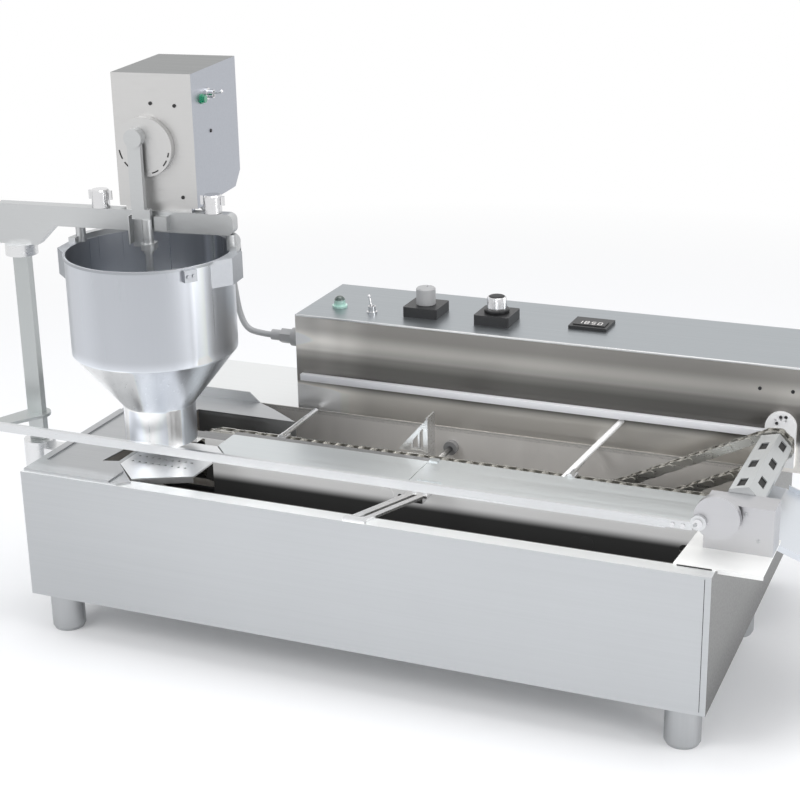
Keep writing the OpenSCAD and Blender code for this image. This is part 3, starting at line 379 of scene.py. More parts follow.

# %% [markdown]
# ## The tank, the beam and the large sheets
# The tub's front is one long brushed panel, with painted shade at its foot and at its left
# end; its top is painted lighter and its right side darker, for the way each faces the
# light. The tank's front wall lies in shade, so its steel is painted dark at the front and
# lighter towards the back. The beam's front sheet is painted dark below, as painted shade
# where it faces the dark tank, and painted bright on top, where the covers throw light back
# on it; its top face is painted dark too. A low glow stands for that thrown light, as
# painted light.

# %% Finishes of the tub and the beam
TUB_FOOT, TUB_RIM = 0.052, 0.216
TUB_LEFT, TUB_CLEAR = -0.42, -0.10
TANK_FRONT, TANK_BACK = -0.22, 0.09
SKIRT_FOOT = 0.148
finishes = {}
finishes["body"] = brushed_steel(
    "body steel", (0.533, 0.548, 0.562), 0.42, depth=0.006, tone=0.03,
    # painted light on the top faces and painted shade on the right side
    sides={"top": (0.78, 0.79, 0.79), "right": (0.265, 0.265, 0.26)},
    # painted shade at the foot of the right side and of the front, and at the front's left end
    fades=[
        ("Z", TUB_FOOT, TUB_RIM, [(0.0, 0.72), (1.0, 1.0), (0.35, 1.0)], "right"),
        ("Z", TUB_FOOT, TUB_RIM, [(0.0, 0.94), (1.0, 1.0)], "front"),
        ("X", TUB_LEFT, TUB_CLEAR, [(0.0, 0.92), (1.0, 1.0)], "front"),
    ],
)
finishes["tank"] = brushed_steel(
    "tank steel", (0.80, 0.775, 0.74), 0.44, grain="z", depth=0.004, tone=0.16, metallic=0.45,
    # painted shade: dark at the tank's front, lighter towards its back
    fades=[("Y", TANK_FRONT, TANK_BACK, [(0.0, 0.08), (1.0, 1.0), (0.30, 0.14), (0.58, 0.80)])],
)
finishes["skirt"] = brushed_steel(
    # the glow is painted light; the dark top face and the dark lower sheet are painted shade
    "skirt steel", (0.72, 0.72, 0.715), 0.34, depth=0.004, metallic=0.35, bounce=0.55,
    sides={"top": (0.14, 0.14, 0.14)},
    fades=[("Z", SKIRT_FOOT, TUB_RIM, [(0.0, 0.03), (1.0, 1.0), (0.42, 0.04), (0.62, 0.85)])],
)
print("finishes:", ", ".join(finishes))

# %% [markdown]
# ## Plain sheets and bright parts
# These differ only in tone, gloss and grain: decks, covers, chute, brackets, chains,
# post, legs and the cast arm. The drop plate's light tone is a painted reflection of the
# nozzle. The right deck and the guide rod are painted the palest, as painted light,
# because they face the light, so they are less metallic.

# %% Finishes of plain sheets
finishes.update({
    "link": brushed_steel("link steel", (0.66, 0.67, 0.68), 0.32, depth=0.006),
    "deck": brushed_steel("deck steel", (0.45, 0.46, 0.47), 0.36, depth=0.006, tone=0.04),
    "cover": brushed_steel("cover steel", (0.67, 0.70, 0.71), 0.40, depth=0.005, tone=0.03),
    "chute": brushed_steel("chute steel", (0.70, 0.73, 0.77), 0.34, depth=0.005),
    "bright": brushed_steel("bright steel", (0.72, 0.725, 0.73), 0.30, depth=0.0015),
    "satin": brushed_steel("satin steel", (0.54, 0.54, 0.555), 0.34, depth=0.005),
    # painted reflection: the drop plate is painted light for the nozzle that it mirrors
    "drain": brushed_steel("drain plate steel", (0.80, 0.81, 0.82), 0.42, depth=0.005),
    # painted light: the right deck is painted pale because it faces the light
    "lit_pale_deck": brushed_steel(
        "right deck steel", (0.93, 0.93, 0.91), 0.40, depth=0.005, metallic=0.35),
    "chain": brushed_steel("chain steel", (0.58, 0.57, 0.54), 0.28, depth=0.004, tone=0.20),
    "post": brushed_steel("post steel", (0.46, 0.48, 0.48), 0.34, grain="z", depth=0.006),
    "cast": brushed_steel("cast aluminium", (0.52, 0.53, 0.535), 0.40, depth=0.004),
    # painted light: the guide rod is painted pale because it faces the light
    "rod": brushed_steel("bright rod", (0.95, 0.94, 0.93), 0.40, depth=0.002, metallic=0.2),
    "wall": brushed_steel("back wall steel", (0.42, 0.41, 0.39), 0.44, depth=0.003, metallic=0.5),
    "leg": brushed_steel("leg grey", (0.44, 0.45, 0.46), 0.40, grain="z", depth=0.006),
    "chrome": brushed_steel("chrome trim", (0.70, 0.70, 0.71), 0.16, depth=0.003),
})
print("finishes so far:", len(finishes))

# %% [markdown]
# ## The control box and the motor housing
# The box's long face mirrors the tank as light and dark bands that run its whole
# length, and it is brightest at its left end. Two fades on the front side paint these
# reflections into its colour, and its top, ends and back are painted lighter by the way
# they face. The motor housing's top and right side are painted darker than its front,
# as painted shade.

# %% Finishes of the housings
BOX_FOOT, BOX_TOP = 0.214, 0.343
BOX_LEFT, BOX_RIGHT = -0.24, 0.43
finishes["box"] = brushed_steel(
    "housing steel", (0.30, 0.29, 0.275), 0.34, depth=0.004, tone=0.05,
    # painted light: the top, the ends and the back are lighter by the way they face
    sides={
        "top": (0.375, 0.40, 0.42), "right": (0.36, 0.37, 0.385), "left": (0.44, 0.45, 0.46),
        "back": (0.44, 0.45, 0.46),
    },
    # painted reflections: bands along the front face's height and along its length
    fades=[
        ("Z", BOX_FOOT, BOX_TOP, [
            (0.0, 2.7), (1.0, 1.05), (0.22, 2.7), (0.32, 0.45), (0.53, 0.48), (0.62, 0.80),
            (0.67, 1.30), (0.75, 1.70), (0.88, 1.0),
        ], "front"),
        ("X", BOX_LEFT, BOX_RIGHT, [
            (0.0, 3.2), (1.0, 1.15), (0.06, 2.6), (0.11, 1.9), (0.16, 1.3), (0.22, 0.95),
            (0.40, 1.0), (0.88, 1.0),
        ], "front"),
    ],
)
finishes["shell"] = brushed_steel(
    "motor housing steel", (0.575, 0.572, 0.568), 0.38, depth=0.006, tone=0.03,
    # painted shade: the top and the right side are darker than the front
    sides={"top": (0.215, 0.22, 0.22), "right": (0.44, 0.46, 0.505)},
)
print("box face from", BOX_FOOT, "to", BOX_TOP, "m high")

# %% [markdown]
# ## The hopper
# The polished hopper's bowl, cone and nozzle each mirror the lamps as upright streaks.
# A streak on a turned part is a band at one place across it, so each of the three gets
# one fade across the hopper, kept to its own heights: these are painted reflections. A
# last fade paints the cone lighter.

# %% Finish of the hopper
hopper_low, hopper_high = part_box("hopper")
hopper_mid = (hopper_low + hopper_high) / 2
CONE_TOP = hopper_high.z - 0.121
CONE_FOOT = CONE_TOP - 0.070
BOWL_REACH = 0.101
OVER_RIM, UNDER_NOZZLE = 0.60, 0.20
CONE_FADE_LOW, CONE_FADE_HIGH = 0.25, 0.36
slant_way = Vector((math.cos(math.radians(SLANT)), math.sin(math.radians(SLANT))))
slant_mid = hopper_mid.xy.dot(slant_way)
across_hopper = ("slant", slant_mid - BOWL_REACH, slant_mid + BOWL_REACH)

finishes["polish"] = brushed_steel(
    "polished hopper", (0.65, 0.675, 0.72), 0.32, grain="z", depth=0.004, tone=0.03,
    # painted reflections of the lamps: one band each across the bowl, the cone and the nozzle,
    # then the cone painted lighter
    fades=[
        (*across_hopper, [
            (0.0, 0.50), (1.0, 0.85), (0.03, 0.80), (0.14, 0.86), (0.28, 0.74), (0.50, 0.73),
            (0.72, 0.70), (0.77, 0.76), (0.805, 1.40), (0.845, 1.48), (0.885, 1.05), (0.92, 0.85),
        ], (CONE_TOP, OVER_RIM)),
        (*across_hopper, [
            (0.0, 1.0), (1.0, 0.6), (0.165, 1.2), (0.265, 1.35), (0.365, 1.90), (0.445, 1.0),
            (0.585, 0.85), (0.655, 0.80), (0.705, 0.50), (0.83, 0.50),
        ], (CONE_FOOT, CONE_TOP)),
        (*across_hopper, [
            (0.0, 0.6), (1.0, 0.6), (0.28, 0.6), (0.305, 1.4), (0.35, 0.95), (0.46, 1.25),
            (0.56, 1.1), (0.605, 1.9), (0.64, 1.3), (0.665, 0.5), (0.70, 0.5),
        ], (UNDER_NOZZLE, CONE_FOOT)),
        ("Z", CONE_FADE_LOW, CONE_FADE_HIGH, [(0.0, 1.25), (1.0, 1.0), (0.35, 1.4), (0.85, 1.4)]),
    ],
)
print("hopper's cone from", round(CONE_FOOT, 3), "to", round(CONE_TOP, 3), "m high")

# %% [markdown]
# ## Wheels, gate, bearing and ring
# The drum's right side is painted darker, as painted shade, and the turning gate is
# painted darker towards the back, where it lies in shade. The bearing plate is painted
# almost white at the drum, as painted light, and dark further left, as painted shade.
# The hopper ring's front side is painted darker, as painted shade. Sprockets and gears
# are dark with oil.

# %% Finishes of the moving metal
GATE_FRONT, GATE_BACK = 0.0, 0.10
BEARING_LEFT, BEARING_RIGHT = 0.0, 0.42
finishes.update({
    "drum": brushed_steel(
        "drum steel", (0.60, 0.615, 0.615), 0.36, grain="y", depth=0.002, tone=0.03,
        # painted shade on the right side
        metallic=0.6, sides={"right": (0.40, 0.41, 0.41)},
    ),
    "gate": brushed_steel(
        "gate steel", (0.74, 0.745, 0.75), 0.28, depth=0.005,
        # painted shade towards the back
        fades=[("Y", GATE_FRONT, GATE_BACK, [
            (0.0, 1.0), (1.0, 0.28), (0.42, 1.0), (0.55, 0.28),
        ])],
    ),
    "disc": brushed_steel("disc steel", (0.58, 0.578, 0.575), 0.38, depth=0.001, tone=0.02),
    "ring": brushed_steel(
        "ring steel", (0.44, 0.455, 0.48), 0.44, depth=0.005, tone=0.04,
        # painted shade on the front side
        sides={"front": (0.36, 0.375, 0.40)},
    ),
    "bearing": brushed_steel(
        "bearing plate", (0.88, 0.88, 0.88), 0.40, depth=0.002, metallic=0.1,
        # painted light at the drum, painted shade further left
        fades=[("X", BEARING_LEFT, BEARING_RIGHT, [
            (0.0, 0.30), (1.0, 1.0), (0.70, 0.30), (0.90, 1.0),
        ])],
    ),
    "wheel": moulded("oiled wheel", (0.22, 0.215, 0.21), 0.38, metallic=1.0),
})
print("finishes so far:", len(finishes))

# %% [markdown]
# ## Plastics, coatings and lamps
# Knobs, glands and the display are moulded plastic, the motors and heating loops have a
# dark coat, and the lamp on the box is a clear jewel that is darker at its tip, its own
# dark green, and pale lower down, where the pale band is a painted glint.

# %% Finishes of the small parts
LAMP_TIP = 0.359
finishes.update({
    "white": moulded("white strip", (0.84, 0.84, 0.86), 0.40),
    "black": moulded("black plastic", (0.012, 0.012, 0.013), 0.40),
    "grey": moulded("grey plastic", (0.42, 0.42, 0.42), 0.42),
    "dark": moulded("dark coating", (0.03, 0.03, 0.032), 0.5, metallic=0.6),
    # dark slots and seams, and painted shade too: the deck's shadow line and the inside of the
    # drum
    "slot_and_shade": moulded("dark slot and painted shade", (0.008, 0.008, 0.008), 0.6),
    "cable": moulded("cable sheath", (0.40, 0.405, 0.41), 0.45),
    "green": lens("green lens", (0.008, 0.24, 0.12), 0.08),
    "lamp": lens("lamp glass", (0.58, 0.86, 0.76), 0.0, fades=[
        # dark at the tip, the lens's own dark green; pale lower down, a painted glint
        ("Z", BOX_TOP, LAMP_TIP, [
            (0.0, 0.7), (1.0, 0.10), (0.20, 0.95), (0.55, 0.75), (0.68, 0.12),
        ]),
    ]),
    "digit": lens("display digit", (0.75, 0.72, 0.70), 0.35),
})
print("finishes in all:", len(finishes))

# %% [markdown]
# ## Paint every CAD node
# A CAD node keeps its shape and only gets a finish. The grain runs the way the sheet
# was rolled: along the long panels, and upright on the post and the hopper.

# %% Paint the nodes
NODE_FINISH = {
    "body": ["body_shell"],
    "link": ["link_bar"],
    "tank": ["oil_tank"],
    "skirt": ["beam_channel"],
    "deck": ["left_deck", "rear_deck"],
    "drain": ["drop_plate"],
    "satin": ["crank_disc", "front_gear_box"],
    "cover": ["beam_covers"],
    "chute": ["out_chute"],
    "bright": ["cross_bracket", "paddle_rods", "post_bracket", "post_collar", "drum_shaft"],
    "disc": ["head_disc"],
    "chain": ["conveyor_chain", "drive_chain"],
    "lit_pale_deck": ["right_deck"],
    "box": ["control_box"],
    "shell": ["head_shell"],
    "post": ["post", "post_lever"],
    "cast": ["arm", "yoke", "rod_guide", "connecting_rod", "plunger"],
    "polish": ["hopper"],
    "wheel": ["drum_wheels", "crank_gear", "drive_shaft", "tail_sprocket", "head_sprocket"],
    "leg": ["legs"],
    "drum": ["drum"],
    "gate": ["mid_flipper"],
    "white": ["ledge"],
    "bearing": ["rear_bearing"],
    "ring": ["hopper_ring"],
    "lamp": ["control_lamp"],
    "black": ["display", "head_gland", "knob_bases"],
    "grey": ["heat_knob", "box_gland"],
    "dark": ["gear_motor", "head_motor", "heating_element"],
    "chrome": [
        "speed_knob", "box_bush", "head_bush", "box_toggle", "head_toggle", "link_pins",
        "left_clamp_knob", "right_clamp_knob",
    ],
    "green": ["head_lamp"],
    "cable": ["cable"],
}
for finish, names in NODE_FINISH.items():
    for name in names:
        nodes[name].data.materials.clear()
        nodes[name].data.materials.append(finishes[finish])
painted = {name for names in NODE_FINISH.values() for name in names}
print("nodes painted:", len(painted), "nodes without a finish:", sorted(set(nodes) - painted))

# %% [markdown]
# ## Making a piece
# Every new piece is a mesh built with bmesh operators. Its place is in its mesh, and
# its object stays at the origin, as a CAD node's does. One helper makes the object,
# paints it, sets its sharp edges, and says which body it rides on.

# %% A helper for pieces
SHARP_FROM = math.radians(35)


def finish_piece(name, mesh_builder, finish, body, smooth=True):
    mesh = bpy.data.meshes.new(name)
    bm = bmesh.new()
    mesh_builder(bm)
    bmesh.ops.recalc_face_normals(bm, faces=bm.faces)
    bm.to_mesh(mesh)
    bm.free()
    piece = bpy.data.objects.new(name, mesh)
    bpy.context.scene.collection.objects.link(piece)
    mesh.materials.append(finishes[finish])
    for face in mesh.polygons:
        face.use_smooth = smooth
    if smooth:
        mesh.set_sharp_from_angle(angle=SHARP_FROM)
    if body:
        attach(piece, body)
    return piece


print("edges stay sharp from", round(math.degrees(SHARP_FROM)), "degrees")

# %% [markdown]
# ## Small fasteners
# A screw's head is a short cylinder whose outer rim is bevelled. It is made upright at
# the origin, and then turned and moved to point out of the face that it holds.

# %% A helper for screws
SCREW_SIDES = 24
RIM_SHARE = 0.35
SMALL_SCREW = (0.0022, 0.0012)


def add_screw(bm, at, out, radius, height):
    before = set(bm.verts)
    made = bmesh.ops.create_cone(
        bm, cap_ends=True, segments=SCREW_SIDES, radius1=radius, radius2=radius, depth=height
    )
    rim = [e for e in {e for v in made["verts"] for e in v.link_edges}
           if all(v.co.z > 0 for v in e.verts)]
    bmesh.ops.bevel(bm, geom=rim, offset=height * RIM_SHARE, affect="EDGES", segments=3,
                    profile=0.5, material=-1)
    new = [v for v in bm.verts if v not in before]
    turn = Vector((0, 0, 1)).rotation_difference(Vector(out)).to_matrix().to_4x4()
    seat = Matrix.Translation(Vector(at)) @ turn @ Matrix.Translation((0, 0, height / 2))
    bmesh.ops.transform(bm, verts=new, matrix=seat)


def screws(name, places, size, finish, body):
    radius, height = size

    def build(bm):
        for at, out in places:
            add_screw(bm, at, out, radius, height)
    piece = finish_piece(name, build, finish, body)
    print(name, len(places), "screws,", len(piece.data.vertices), "vertices")


print("a screw's head has", SCREW_SIDES, "sides")

# %% [markdown]
# ## Places on the head
# The head is turned a few degrees on its post, so places on it are first written
# along the arm and across it, and then turned with it.

# %% Find places on the head
HEAD_YAW = math.radians(6.5)
post_low, post_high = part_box("post_collar")
POST_AT = ((post_low + post_high) / 2).xy


def on_head(along, across, height):
    x = POST_AT.x + along * math.cos(HEAD_YAW) - across * math.sin(HEAD_YAW)
    y = POST_AT.y + along * math.sin(HEAD_YAW) + across * math.cos(HEAD_YAW)
    return Vector((x, y, height))


HEAD_FRONT = Vector((math.sin(HEAD_YAW), -math.cos(HEAD_YAW), 0))
HEAD_RIGHT = Vector((math.cos(HEAD_YAW), math.sin(HEAD_YAW), 0))
print("post axis at", [round(c, 4) for c in POST_AT])

# %% [markdown]
# ## Screws of the motor housing
# Four dark screws on the front and one on the right side hold the motor in its housing.
# The front ones are given by their place along the arm and their depth under the top.

# %% Screws of the motor housing
SHELL_LEFT, SHELL_RIGHT, SHELL_FRONT = 0.138, 0.238, -0.0025
SHELL_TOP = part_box("head_shell")[1].z
SIDE_SCREW_BACK, SIDE_SCREW_BELOW = 0.05, 0.075
front_screws = [
    (SHELL_LEFT + 0.048, 0.035), (SHELL_RIGHT - 0.022, 0.037),
    (SHELL_LEFT + 0.018, 0.145), (SHELL_RIGHT - 0.018, 0.145),
]
shell_places = [
    (on_head(along, SHELL_FRONT, SHELL_TOP - below), HEAD_FRONT) for along, below in front_screws
]
side_place = on_head(SHELL_RIGHT, SIDE_SCREW_BACK, SHELL_TOP - SIDE_SCREW_BELOW)
shell_places.append((side_place, HEAD_RIGHT))
screws("housing_screws", shell_places, SMALL_SCREW, "black", "head")

# %% [markdown]
# ## Bolts on the body
# The gear box shows two bolts, the rear bearing three and the control box two. They are
# measured from the corners of the nodes that they sit on.

# %% Bolts of the gear box and the bearing
FRONT = Vector((0, -1, 0))
GEAR_BOLT = (0.0020, 0.0012)
GEAR_SHEET = 0.0015
BEARING_BOLT = (0.0019, 0.0014)
BEARING_DEEP = 0.007
gear_low, gear_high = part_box("front_gear_box")
gear_face = gear_low.y + GEAR_SHEET
gear_bolts = [
    (Vector((gear_high.x - 0.030, gear_face, gear_high.z - 0.008)), FRONT),
    (Vector((gear_high.x - 0.016, gear_face, gear_low.z + 0.016)), FRONT),
]
screws("gear_box_bolts", gear_bolts, GEAR_BOLT, "deck", "base")
bearing_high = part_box("rear_bearing")[1]
drum_low, drum_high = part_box("drum")
DRUM_X = (drum_low.x + drum_high.x) / 2
bearing_bolts = [
    (Vector((DRUM_X + across, bearing_high.y - BEARING_DEEP, bearing_high.z - below)), FRONT)
    for across, below in ((0.0, 0.0050), (0.0060, 0.0045), (-0.0043, 0.0130))
]
screws("bearing_bolts", bearing_bolts, BEARING_BOLT, "black", "base")

# %% [markdown]
# The link bar is held to the crank by a pin whose end shows a small bolt, and the
# control box's face has two screws near its right end.

# %% Bolts of the link and the control box
PIN_INSET = 0.0075
BOX_SCREWS_BELOW = 0.029
pins_low, pins_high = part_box("link_pins")
pin_bolt = Vector((pins_high.x - PIN_INSET, pins_low.y, (pins_low.z + pins_high.z) / 2))
screws("link_pin_bolt", [(pin_bolt, FRONT)], SMALL_SCREW, "deck", "link")
box_low, box_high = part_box("control_box")
box_screws = [
    (Vector((box_high.x - from_end, box_low.y, box_high.z - BOX_SCREWS_BELOW)), FRONT)
    for from_end in (0.0693, 0.0311)
]
screws("box_face_screws", box_screws, SMALL_SCREW, "dark", "base")

# %% [markdown]
# ## Thin bars
# Folded sheet catches the light along its edges, and sheets that meet leave a dark
# line. Both are drawn as slim bars with a rounded edge, laid on the CAD surface: a cube
# is scaled, its edges are bevelled, and it is turned to run from one point to another.

# %% A helper for slim bars
def add_bar(bm, start, end, width, height, up=(0, 0, 1), soft=0.3):
    start, end, up = Vector(start), Vector(end), Vector(up).normalized()
    before = set(bm.verts)
    bmesh.ops.create_cube(bm, size=1.0)
    new = [v for v in bm.verts if v not in before]
    bmesh.ops.scale(bm, verts=new, vec=((end - start).length, width, height))
    edges = list({e for v in new for e in v.link_edges})
    bmesh.ops.bevel(bm, geom=edges, offset=min(width, height) * soft, affect="EDGES",
                    segments=2, profile=0.5, material=-1)
    new = [v for v in bm.verts if v not in before]
    along = (end - start).normalized()
    across = up.cross(along).normalized()
    turn = Matrix((along, across, along.cross(across))).transposed().to_4x4()
    bmesh.ops.transform(bm, verts=new, matrix=Matrix.Translation((start + end) / 2) @ turn)


def bars(name, lines, size, finish, body, up=(0, 0, 1)):
    width, height = size

    def build(bm):
        for start, end in lines:
            add_bar(bm, start, end, width, height, up)
    finish_piece(name, build, finish, body)
    print(name, len(lines), "bars")


print("a bar's edges are bevelled by a share of its thinner side")

# %% [markdown]
# ## Edges and seams
# The control box's top edge shines: a bar of bright steel on it is a painted highlight.
# The tub's right corner has a folded seam, and the right deck leaves a line of shade where
# it meets the tub's front, drawn as a dark bar of painted shadow.

# %% Bright edges and dark seams of the tub and the box
EDGE_SIZE = (0.0026, 0.0026)
EDGE_SUNK = 0.0006
SEAM_SIZE = (0.0006, 0.0007)
SEAM_INSET = 0.007
SHADE_SIZE = (0.0034, 0.0010)
tub_low, tub_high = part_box("body_shell")
edge_y, edge_z = box_low.y + EDGE_SUNK, box_high.z - EDGE_SUNK
# painted highlight: a bar of bright steel along the box's top edge
bars("box_edge_highlight", [((box_low.x + 0.001, edge_y, edge_z), (box_high.x - 0.001, edge_y, edge_z))],
     EDGE_SIZE, "bright", "base")
seam_x = tub_high.x - SEAM_INSET
bars("corner_seam",
     [((seam_x, tub_low.y, tub_low.z + 0.004), (seam_x, tub_low.y, tub_high.z - 0.003))],
     SEAM_SIZE, "slot_and_shade", "base", up=(0, 1, 0))
deck_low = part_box("right_deck")[0]
shade_y, shade_z = deck_low.y + 0.001, tub_high.z + 0.0006
# painted shadow: a dark bar where the right deck meets the tub's front
bars("deck_shadow",
     [((deck_low.x + 0.004, shade_y, shade_z), (tub_high.x - 0.004, shade_y, shade_z))],
     SHADE_SIZE, "slot_and_shade", "base")

# %% [markdown]
# ## Seals in the beam's front sheet
# The beam's front sheet has clearance bores for two shafts. A thin washer of the same
# steel stops each of them, as the shaft's seal does.

# %% Seals in the beam's front sheet
SEAL_SIZE = (0.0085, 0.0006)
GATE_SHAFT_UP = 0.0045
skirt_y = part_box("beam_channel")[0].y
gate_low, gate_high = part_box("mid_flipper")
drive_low, drive_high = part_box("drive_shaft")
drive_mid = (drive_low + drive_high) / 2
seals = [
    Vector((drive_mid.x, skirt_y, drive_mid.z)),
    Vector(((gate_low.x + gate_high.x) / 2, skirt_y, gate_low.z + GATE_SHAFT_UP)),
]
screws("skirt_seals", [(place, FRONT) for place in seals], SEAL_SIZE,
       "skirt", "base")

# %% [markdown]
# ## The ledge
# The white strip under the control box's face is slimmer than the CAD model's block and
# runs on to the rear bearing. It replaces the block, and stays where the block is.

# %% A slimmer ledge
ledge_low, ledge_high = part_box("ledge")
LEDGE_TALL, LEDGE_DEEP = 0.0088, 0.0078
LEDGE_SOFT = 0.06
LEDGE_RAISED = 0.0025
LEDGE_INSET = 0.004
BEARING_HALF = 0.0185
ledge_mid = ledge_high.z + LEDGE_RAISED - LEDGE_TALL / 2
ledge_y = ledge_low.y + LEDGE_INSET
ledge_start = Vector((ledge_low.x + LEDGE_INSET, ledge_y, ledge_mid))
ledge_end = Vector((DRUM_X - BEARING_HALF, ledge_y, ledge_mid))


def build_ledge(bm):
    add_bar(bm, ledge_start, ledge_end, LEDGE_DEEP, LEDGE_TALL, soft=LEDGE_SOFT)


ledge_strip = finish_piece("ledge_strip", build_ledge, "white", "base")
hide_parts("ledge")
print("ledge from", round(ledge_start.x, 3), "to", round(ledge_end.x, 3))

# %% [markdown]
# ## The guide rod
# A bright rod rises across the back lane from the beam to the control box, just ahead
# of the drive shaft. It is a plain cylinder, turned from Z onto its line.

# %% Guide rod
cover_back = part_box("beam_covers")[1].y
ROD_RADIUS = 0.0035
ROD_SIDES = 32
ROD_FROM_X, ROD_TO_X = 0.1944, 0.2369
rod_start = Vector((ROD_FROM_X, cover_back - 0.0015, tub_high.z - ROD_RADIUS))
rod_end = Vector((ROD_TO_X, box_low.y + 0.0005, ledge_mid - 0.0085))
rod_way = rod_end - rod_start


def build_rod(bm):
    bmesh.ops.create_cone(bm, cap_ends=True, segments=ROD_SIDES, radius1=ROD_RADIUS,
                          radius2=ROD_RADIUS, depth=rod_way.length)
    turn = Vector((0, 0, 1)).rotation_difference(rod_way).to_matrix().to_4x4()
    middle = Matrix.Translation((rod_start + rod_end) / 2)
    bmesh.ops.transform(bm, verts=bm.verts[:], matrix=middle @ turn)


finish_piece("guide_rod", build_rod, "rod", "base")
print("guide rod is", round(rod_way.length, 4), "m long")

# %% [markdown]
# ## The back fillet
# The tank's back wall meets the control box in a narrow joint. A thin fillet of wall
# steel closes it.

# %% Back fillet
FILLET_SIZE = (0.0014, 0.0060)
FILLET_INSET = 0.005
tank_low, tank_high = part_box("oil_tank")
fillet_y, fillet_z = box_low.y - 0.0008, tub_high.z - 0.001
fillet_start = Vector((tank_low.x + FILLET_INSET, fillet_y, fillet_z))
fillet_end = Vector((tank_high.x - FILLET_INSET, fillet_y, fillet_z))
bars("back_fillet", [(fillet_start, fillet_end)], FILLET_SIZE, "wall", "base")

# %% [markdown]
# ## Inside of the drum
# The six-sided drum is hollow. A dark shell just inside its wall is painted shade: it
# keeps the slots dark, as the shade inside the drum does. A cylinder with six sides is
# such a shell, once it lies along the drum's axis and has the drum's tilt.

# %% Painted shade inside the drum
DRUM_SIDES = 6
DRUM_RADIUS, DRUM_WALL = 0.0215, 0.0024
INNER_SHADE_RADIUS = DRUM_RADIUS - DRUM_WALL
INNER_SHADE_SHORT = 0.004
DRUM_TILT = 13.0
FIRST_CORNER = 30.0
drum_mid = (drum_low + drum_high) / 2
inner_shade_long = drum_high.y - drum_low.y - 2 * INNER_SHADE_SHORT


def build_inner_shade(bm):
    lie_down = Matrix.Rotation(math.radians(90), 4, "X")
    tilt = Matrix.Rotation(math.radians(DRUM_TILT - FIRST_CORNER), 4, "Z")
    bmesh.ops.create_cone(bm, cap_ends=True, segments=DRUM_SIDES, radius1=INNER_SHADE_RADIUS,
                          radius2=INNER_SHADE_RADIUS, depth=inner_shade_long,
                          matrix=Matrix.Translation(drum_mid) @ lie_down @ tilt)


# painted shade: a dark shell inside the drum
finish_piece("drum_inner_shade", build_inner_shade, "slot_and_shade", "drum", smooth=False)
print("drum's axis at", round(drum_mid.x, 4), round(drum_mid.z, 4))

# %% [markdown]
# ## The crank of the head
# The disc on the motor housing has a rolled rim broken by short dark slots. Each slot
# is a small rectangle spun a few degrees about the disc's axis.

# %% Slots round the head disc
DISC_ALONG, DISC_BELOW = 0.178, 0.085
DISC_GAP, DISC_THICK = 0.0003, 0.009
disc_face = SHELL_FRONT - DISC_GAP - DISC_THICK
disc_centre = on_head(DISC_ALONG, disc_face, SHELL_TOP - DISC_BELOW)
SLOT_RADIUS, SLOT_WIDE, SLOT_TALL = 0.0308, 0.0015, 0.0004
SLOT_STEPS = 10
slot_turns = ((188, 20), (216, 14), (238, 12), (286, 16), (318, 14), (340, 10))


def add_slot(bm, start, turn):
    angle = math.radians(start)
    way = HEAD_RIGHT * math.cos(angle) + Vector((0, 0, 1)) * math.sin(angle)
    corners = [
        bm.verts.new(disc_centre + way * (SLOT_RADIUS + wide) + HEAD_FRONT * tall)
        for wide, tall in ((0, 0), (SLOT_WIDE, 0), (SLOT_WIDE, SLOT_TALL), (0, SLOT_TALL))
    ]
    face = bm.faces.new(corners)
    bmesh.ops.spin(bm, geom=[*corners, *face.edges, face], cent=disc_centre, axis=HEAD_FRONT,
                   dvec=(0, 0, 0), angle=math.radians(turn), steps=SLOT_STEPS)


def build_disc_slots(bm):
    for start, turn in slot_turns:
        add_slot(bm, start, turn)


finish_piece("disc_slots", build_disc_slots, "slot_and_shade", "head_crank", smooth=False)
print("disc centre", [round(c, 4) for c in disc_centre])

# %% [markdown]
# ## The speed knob
# This knob has a black skirt, a bright fluted grip and a dark cap. Three turned pieces
# stand for the one plain solid of the CAD model. Each is a profile spun once round; the
# flutes come from every other column of points, which is drawn in a little.

# %% A helper for turned pieces
def turned(name, centre, profile, finish, body, segments=64, flute=0.0):
    step = 2 * math.pi / segments

    def build(bm):
        line = [bm.verts.new(centre + Vector((radius, 0, height))) for radius, height in profile]
        edges = [bm.edges.new(pair) for pair in zip(line, line[1:])]
        bmesh.ops.spin(bm, geom=line + edges, cent=centre, axis=(0, 0, 1), dvec=(0, 0, 0),
                       angle=2 * math.pi, steps=segments, use_merge=True)
        for v in bm.verts:
            away = (v.co - centre).xy
            if flute and round(math.atan2(away.y, away.x) / step) % 2:
                v.co.xy = centre.xy + away * (1 - flute)
        bmesh.ops.holes_fill(bm, edges=[e for e in bm.edges if e.is_boundary])
    piece = finish_piece(name, build, finish, body)
    print(name, len(piece.data.vertices), "vertices")
    return piece


print("a turned piece needs a profile of radii and heights")

# %% [markdown]
# The profiles run from the foot up. Heights are measured from the knob's base plate.

